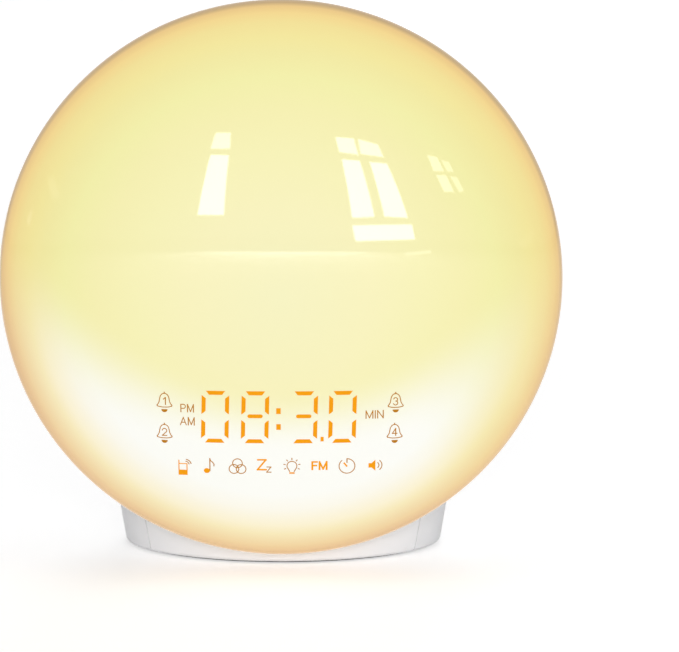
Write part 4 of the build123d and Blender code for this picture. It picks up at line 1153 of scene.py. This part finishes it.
def place_camera(scene):
    """Camera in front of the dome, a little above it. Gives its place."""
    sizes = studio()
    aim = dome_middle() + Vector((sizes.aim_right, 0, -sizes.aim_drop))
    eye = aim + Vector((0, -cos(sizes.elevation), sin(sizes.elevation))) * sizes.distance
    data = bpy.data.cameras.new("camera")
    data.lens = sizes.lens
    data.sensor_width = SENSOR_WIDTH
    data.clip_start, data.clip_end = CLIP_FROM_TO
    camera = add_object("camera", data)
    camera.location = eye
    camera.rotation_euler = Euler((pi / 2 - sizes.elevation, 0, 0))
    scene.camera = camera
    return eye


def lamp_material(name, strength):
    """Plain glow of a window pane."""
    material = bpy.data.materials.new(name)
    material.use_nodes = True
    tree = material.node_tree
    tree.nodes.remove(tree.nodes["Principled BSDF"])
    glow = make_node(tree, "ShaderNodeEmission", Strength=strength)
    feed(tree, tree.nodes["Material Output"], {"Surface": glow.outputs[0]})
    return material


def place_windows(eye):
    """Bright panes round the clock and over the floor, where the dome mirrors them as highlights."""
    for number, (corners, share) in enumerate(PANES, start=1):
        bm = bmesh.new()
        verts = []
        for x, z in corners:
            point = dome_point(x * MM, z * MM)
            mirrored = (point - eye).normalized().reflect(dome_normal(point))
            reach = studio().window_distance
            if mirrored.z < 0:
                reach = min(reach, point.z / -mirrored.z * FLOOR_CLEARANCE)
            verts.append(bm.verts.new(point + mirrored * reach))
        bm.faces.new(verts)
        mesh = mesh_from(bm, "pane")
        mesh.materials.append(lamp_material(f"pane_{number}", studio().window_light * share))
        pane = add_object(f"window_pane_{number}", mesh)
        pane.visible_camera = False
        pane.visible_diffuse = False
        pane.visible_shadow = False
        pane.visible_transmission = False


def place_lights():
    """Soft boxes all round, which light the clock but don't show in its gloss."""
    target = dome_middle()
    for name, place, size, power in SOFTBOXES:
        data = bpy.data.lights.new(name, "AREA")
        data.shape = "SQUARE"
        data.size = size
        data.energy = power
        lamp = add_object(name, data)
        lamp.location = place
        lamp.rotation_euler = (target - Vector(place)).to_track_quat("-Z", "Y").to_euler()
        lamp.visible_glossy = False


def seen_share(tree):
    """1 where a surface is seen straight or through something, less where it is mirrored, else 0."""
    rays = make_node(tree, "ShaderNodeLightPath").outputs
    mirrored = math_node(tree, "MULTIPLY", rays["Is Glossy Ray"], MIRRORED_SHARE)
    straight = math_node(tree, "MAXIMUM", rays["Is Camera Ray"], rays["Is Transmission Ray"])
    return math_node(tree, "MAXIMUM", mirrored, straight)


def place_floor():
    """Wide pale floor that shows as white and keeps the clock's shadow."""
    bm = bmesh.new()
    bmesh.ops.create_grid(bm, x_segments=1, y_segments=1, size=FLOOR_SIZE / 2)
    mesh = mesh_from(bm, "floor")
    pale = Finish("floor_pale").tint((0.80, 0.80, 0.80), 0.01, 2.0)
    lift = pale.math("MULTIPLY", seen_share(pale.tree), FLOOR_LIFT)
    pale.set(Roughness=0.9, Emission_Color=(1, 1, 1, 1), Emission_Strength=lift)
    mesh.materials.append(pale.material)
    floor = add_object("floor", mesh)


def light_world(scene):
    """Pale surroundings, brightest where they are seen straight, a little less where they are mirrored."""
    world = bpy.data.worlds.new("surroundings")
    scene.world = world
    world.use_nodes = True
    tree = world.node_tree
    level = make_node(tree, "ShaderNodeMapRange", To_Min=WORLD_LIGHT, To_Max=1.0, Value=seen_share(tree))
    feed(tree, tree.nodes["Background"], {"Color": (1, 1, 1, 1), "Strength": level.outputs[0]})


class CLOCK_PT_panel(bpy.types.Panel):
    """Lists the clock's pieces in the 3D view's sidebar"""

    bl_idname = "CLOCK_PT_panel"
    bl_label = "Sunrise alarm clock"
    bl_space_type = "VIEW_3D"
    bl_region_type = "UI"
    bl_category = "Clock"

    def draw(self, context):
        for operator in OPERATORS:
            self.layout.operator(operator.bl_idname)
        for settings in (dome(), display(), finish(), studio()):
            box = self.layout.box()
            for name in settings.bl_rna.properties.keys():
                if name not in ("rna_type", "name"):
                    box.prop(settings, name)


SETTINGS = {"clock_dome": DomeSettings, "clock_display": DisplaySettings,
            "clock_finish": FinishSettings, "clock_stage": StageSettings}
OPERATORS = (CLOCK_OT_stage, CLOCK_OT_dome, CLOCK_OT_display, CLOCK_OT_case, CLOCK_OT_keys,
             CLOCK_OT_fasteners, CLOCK_OT_inside)
CLASSES = (*SETTINGS.values(), *OPERATORS, CLOCK_PT_panel)


def register():
    """Registers the classes and the scene's settings."""
    for listed in CLASSES:
        bpy.utils.register_class(listed)
    for name, settings in SETTINGS.items():
        setattr(bpy.types.Scene, name, PointerProperty(type=settings))


def unregister():
    """Removes what register added."""
    for name in SETTINGS:
        delattr(bpy.types.Scene, name)
    for listed in reversed(CLASSES):
        bpy.utils.unregister_class(listed)


def main():
    """Makes every piece."""
    register()
    bpy.ops.clock.stage()
    bpy.ops.clock.dome()
    bpy.ops.clock.display()
    bpy.ops.clock.case()
    bpy.ops.clock.keys()
    bpy.ops.clock.fasteners()
    bpy.ops.clock.inside()


if __name__ == "__main__":
    main()
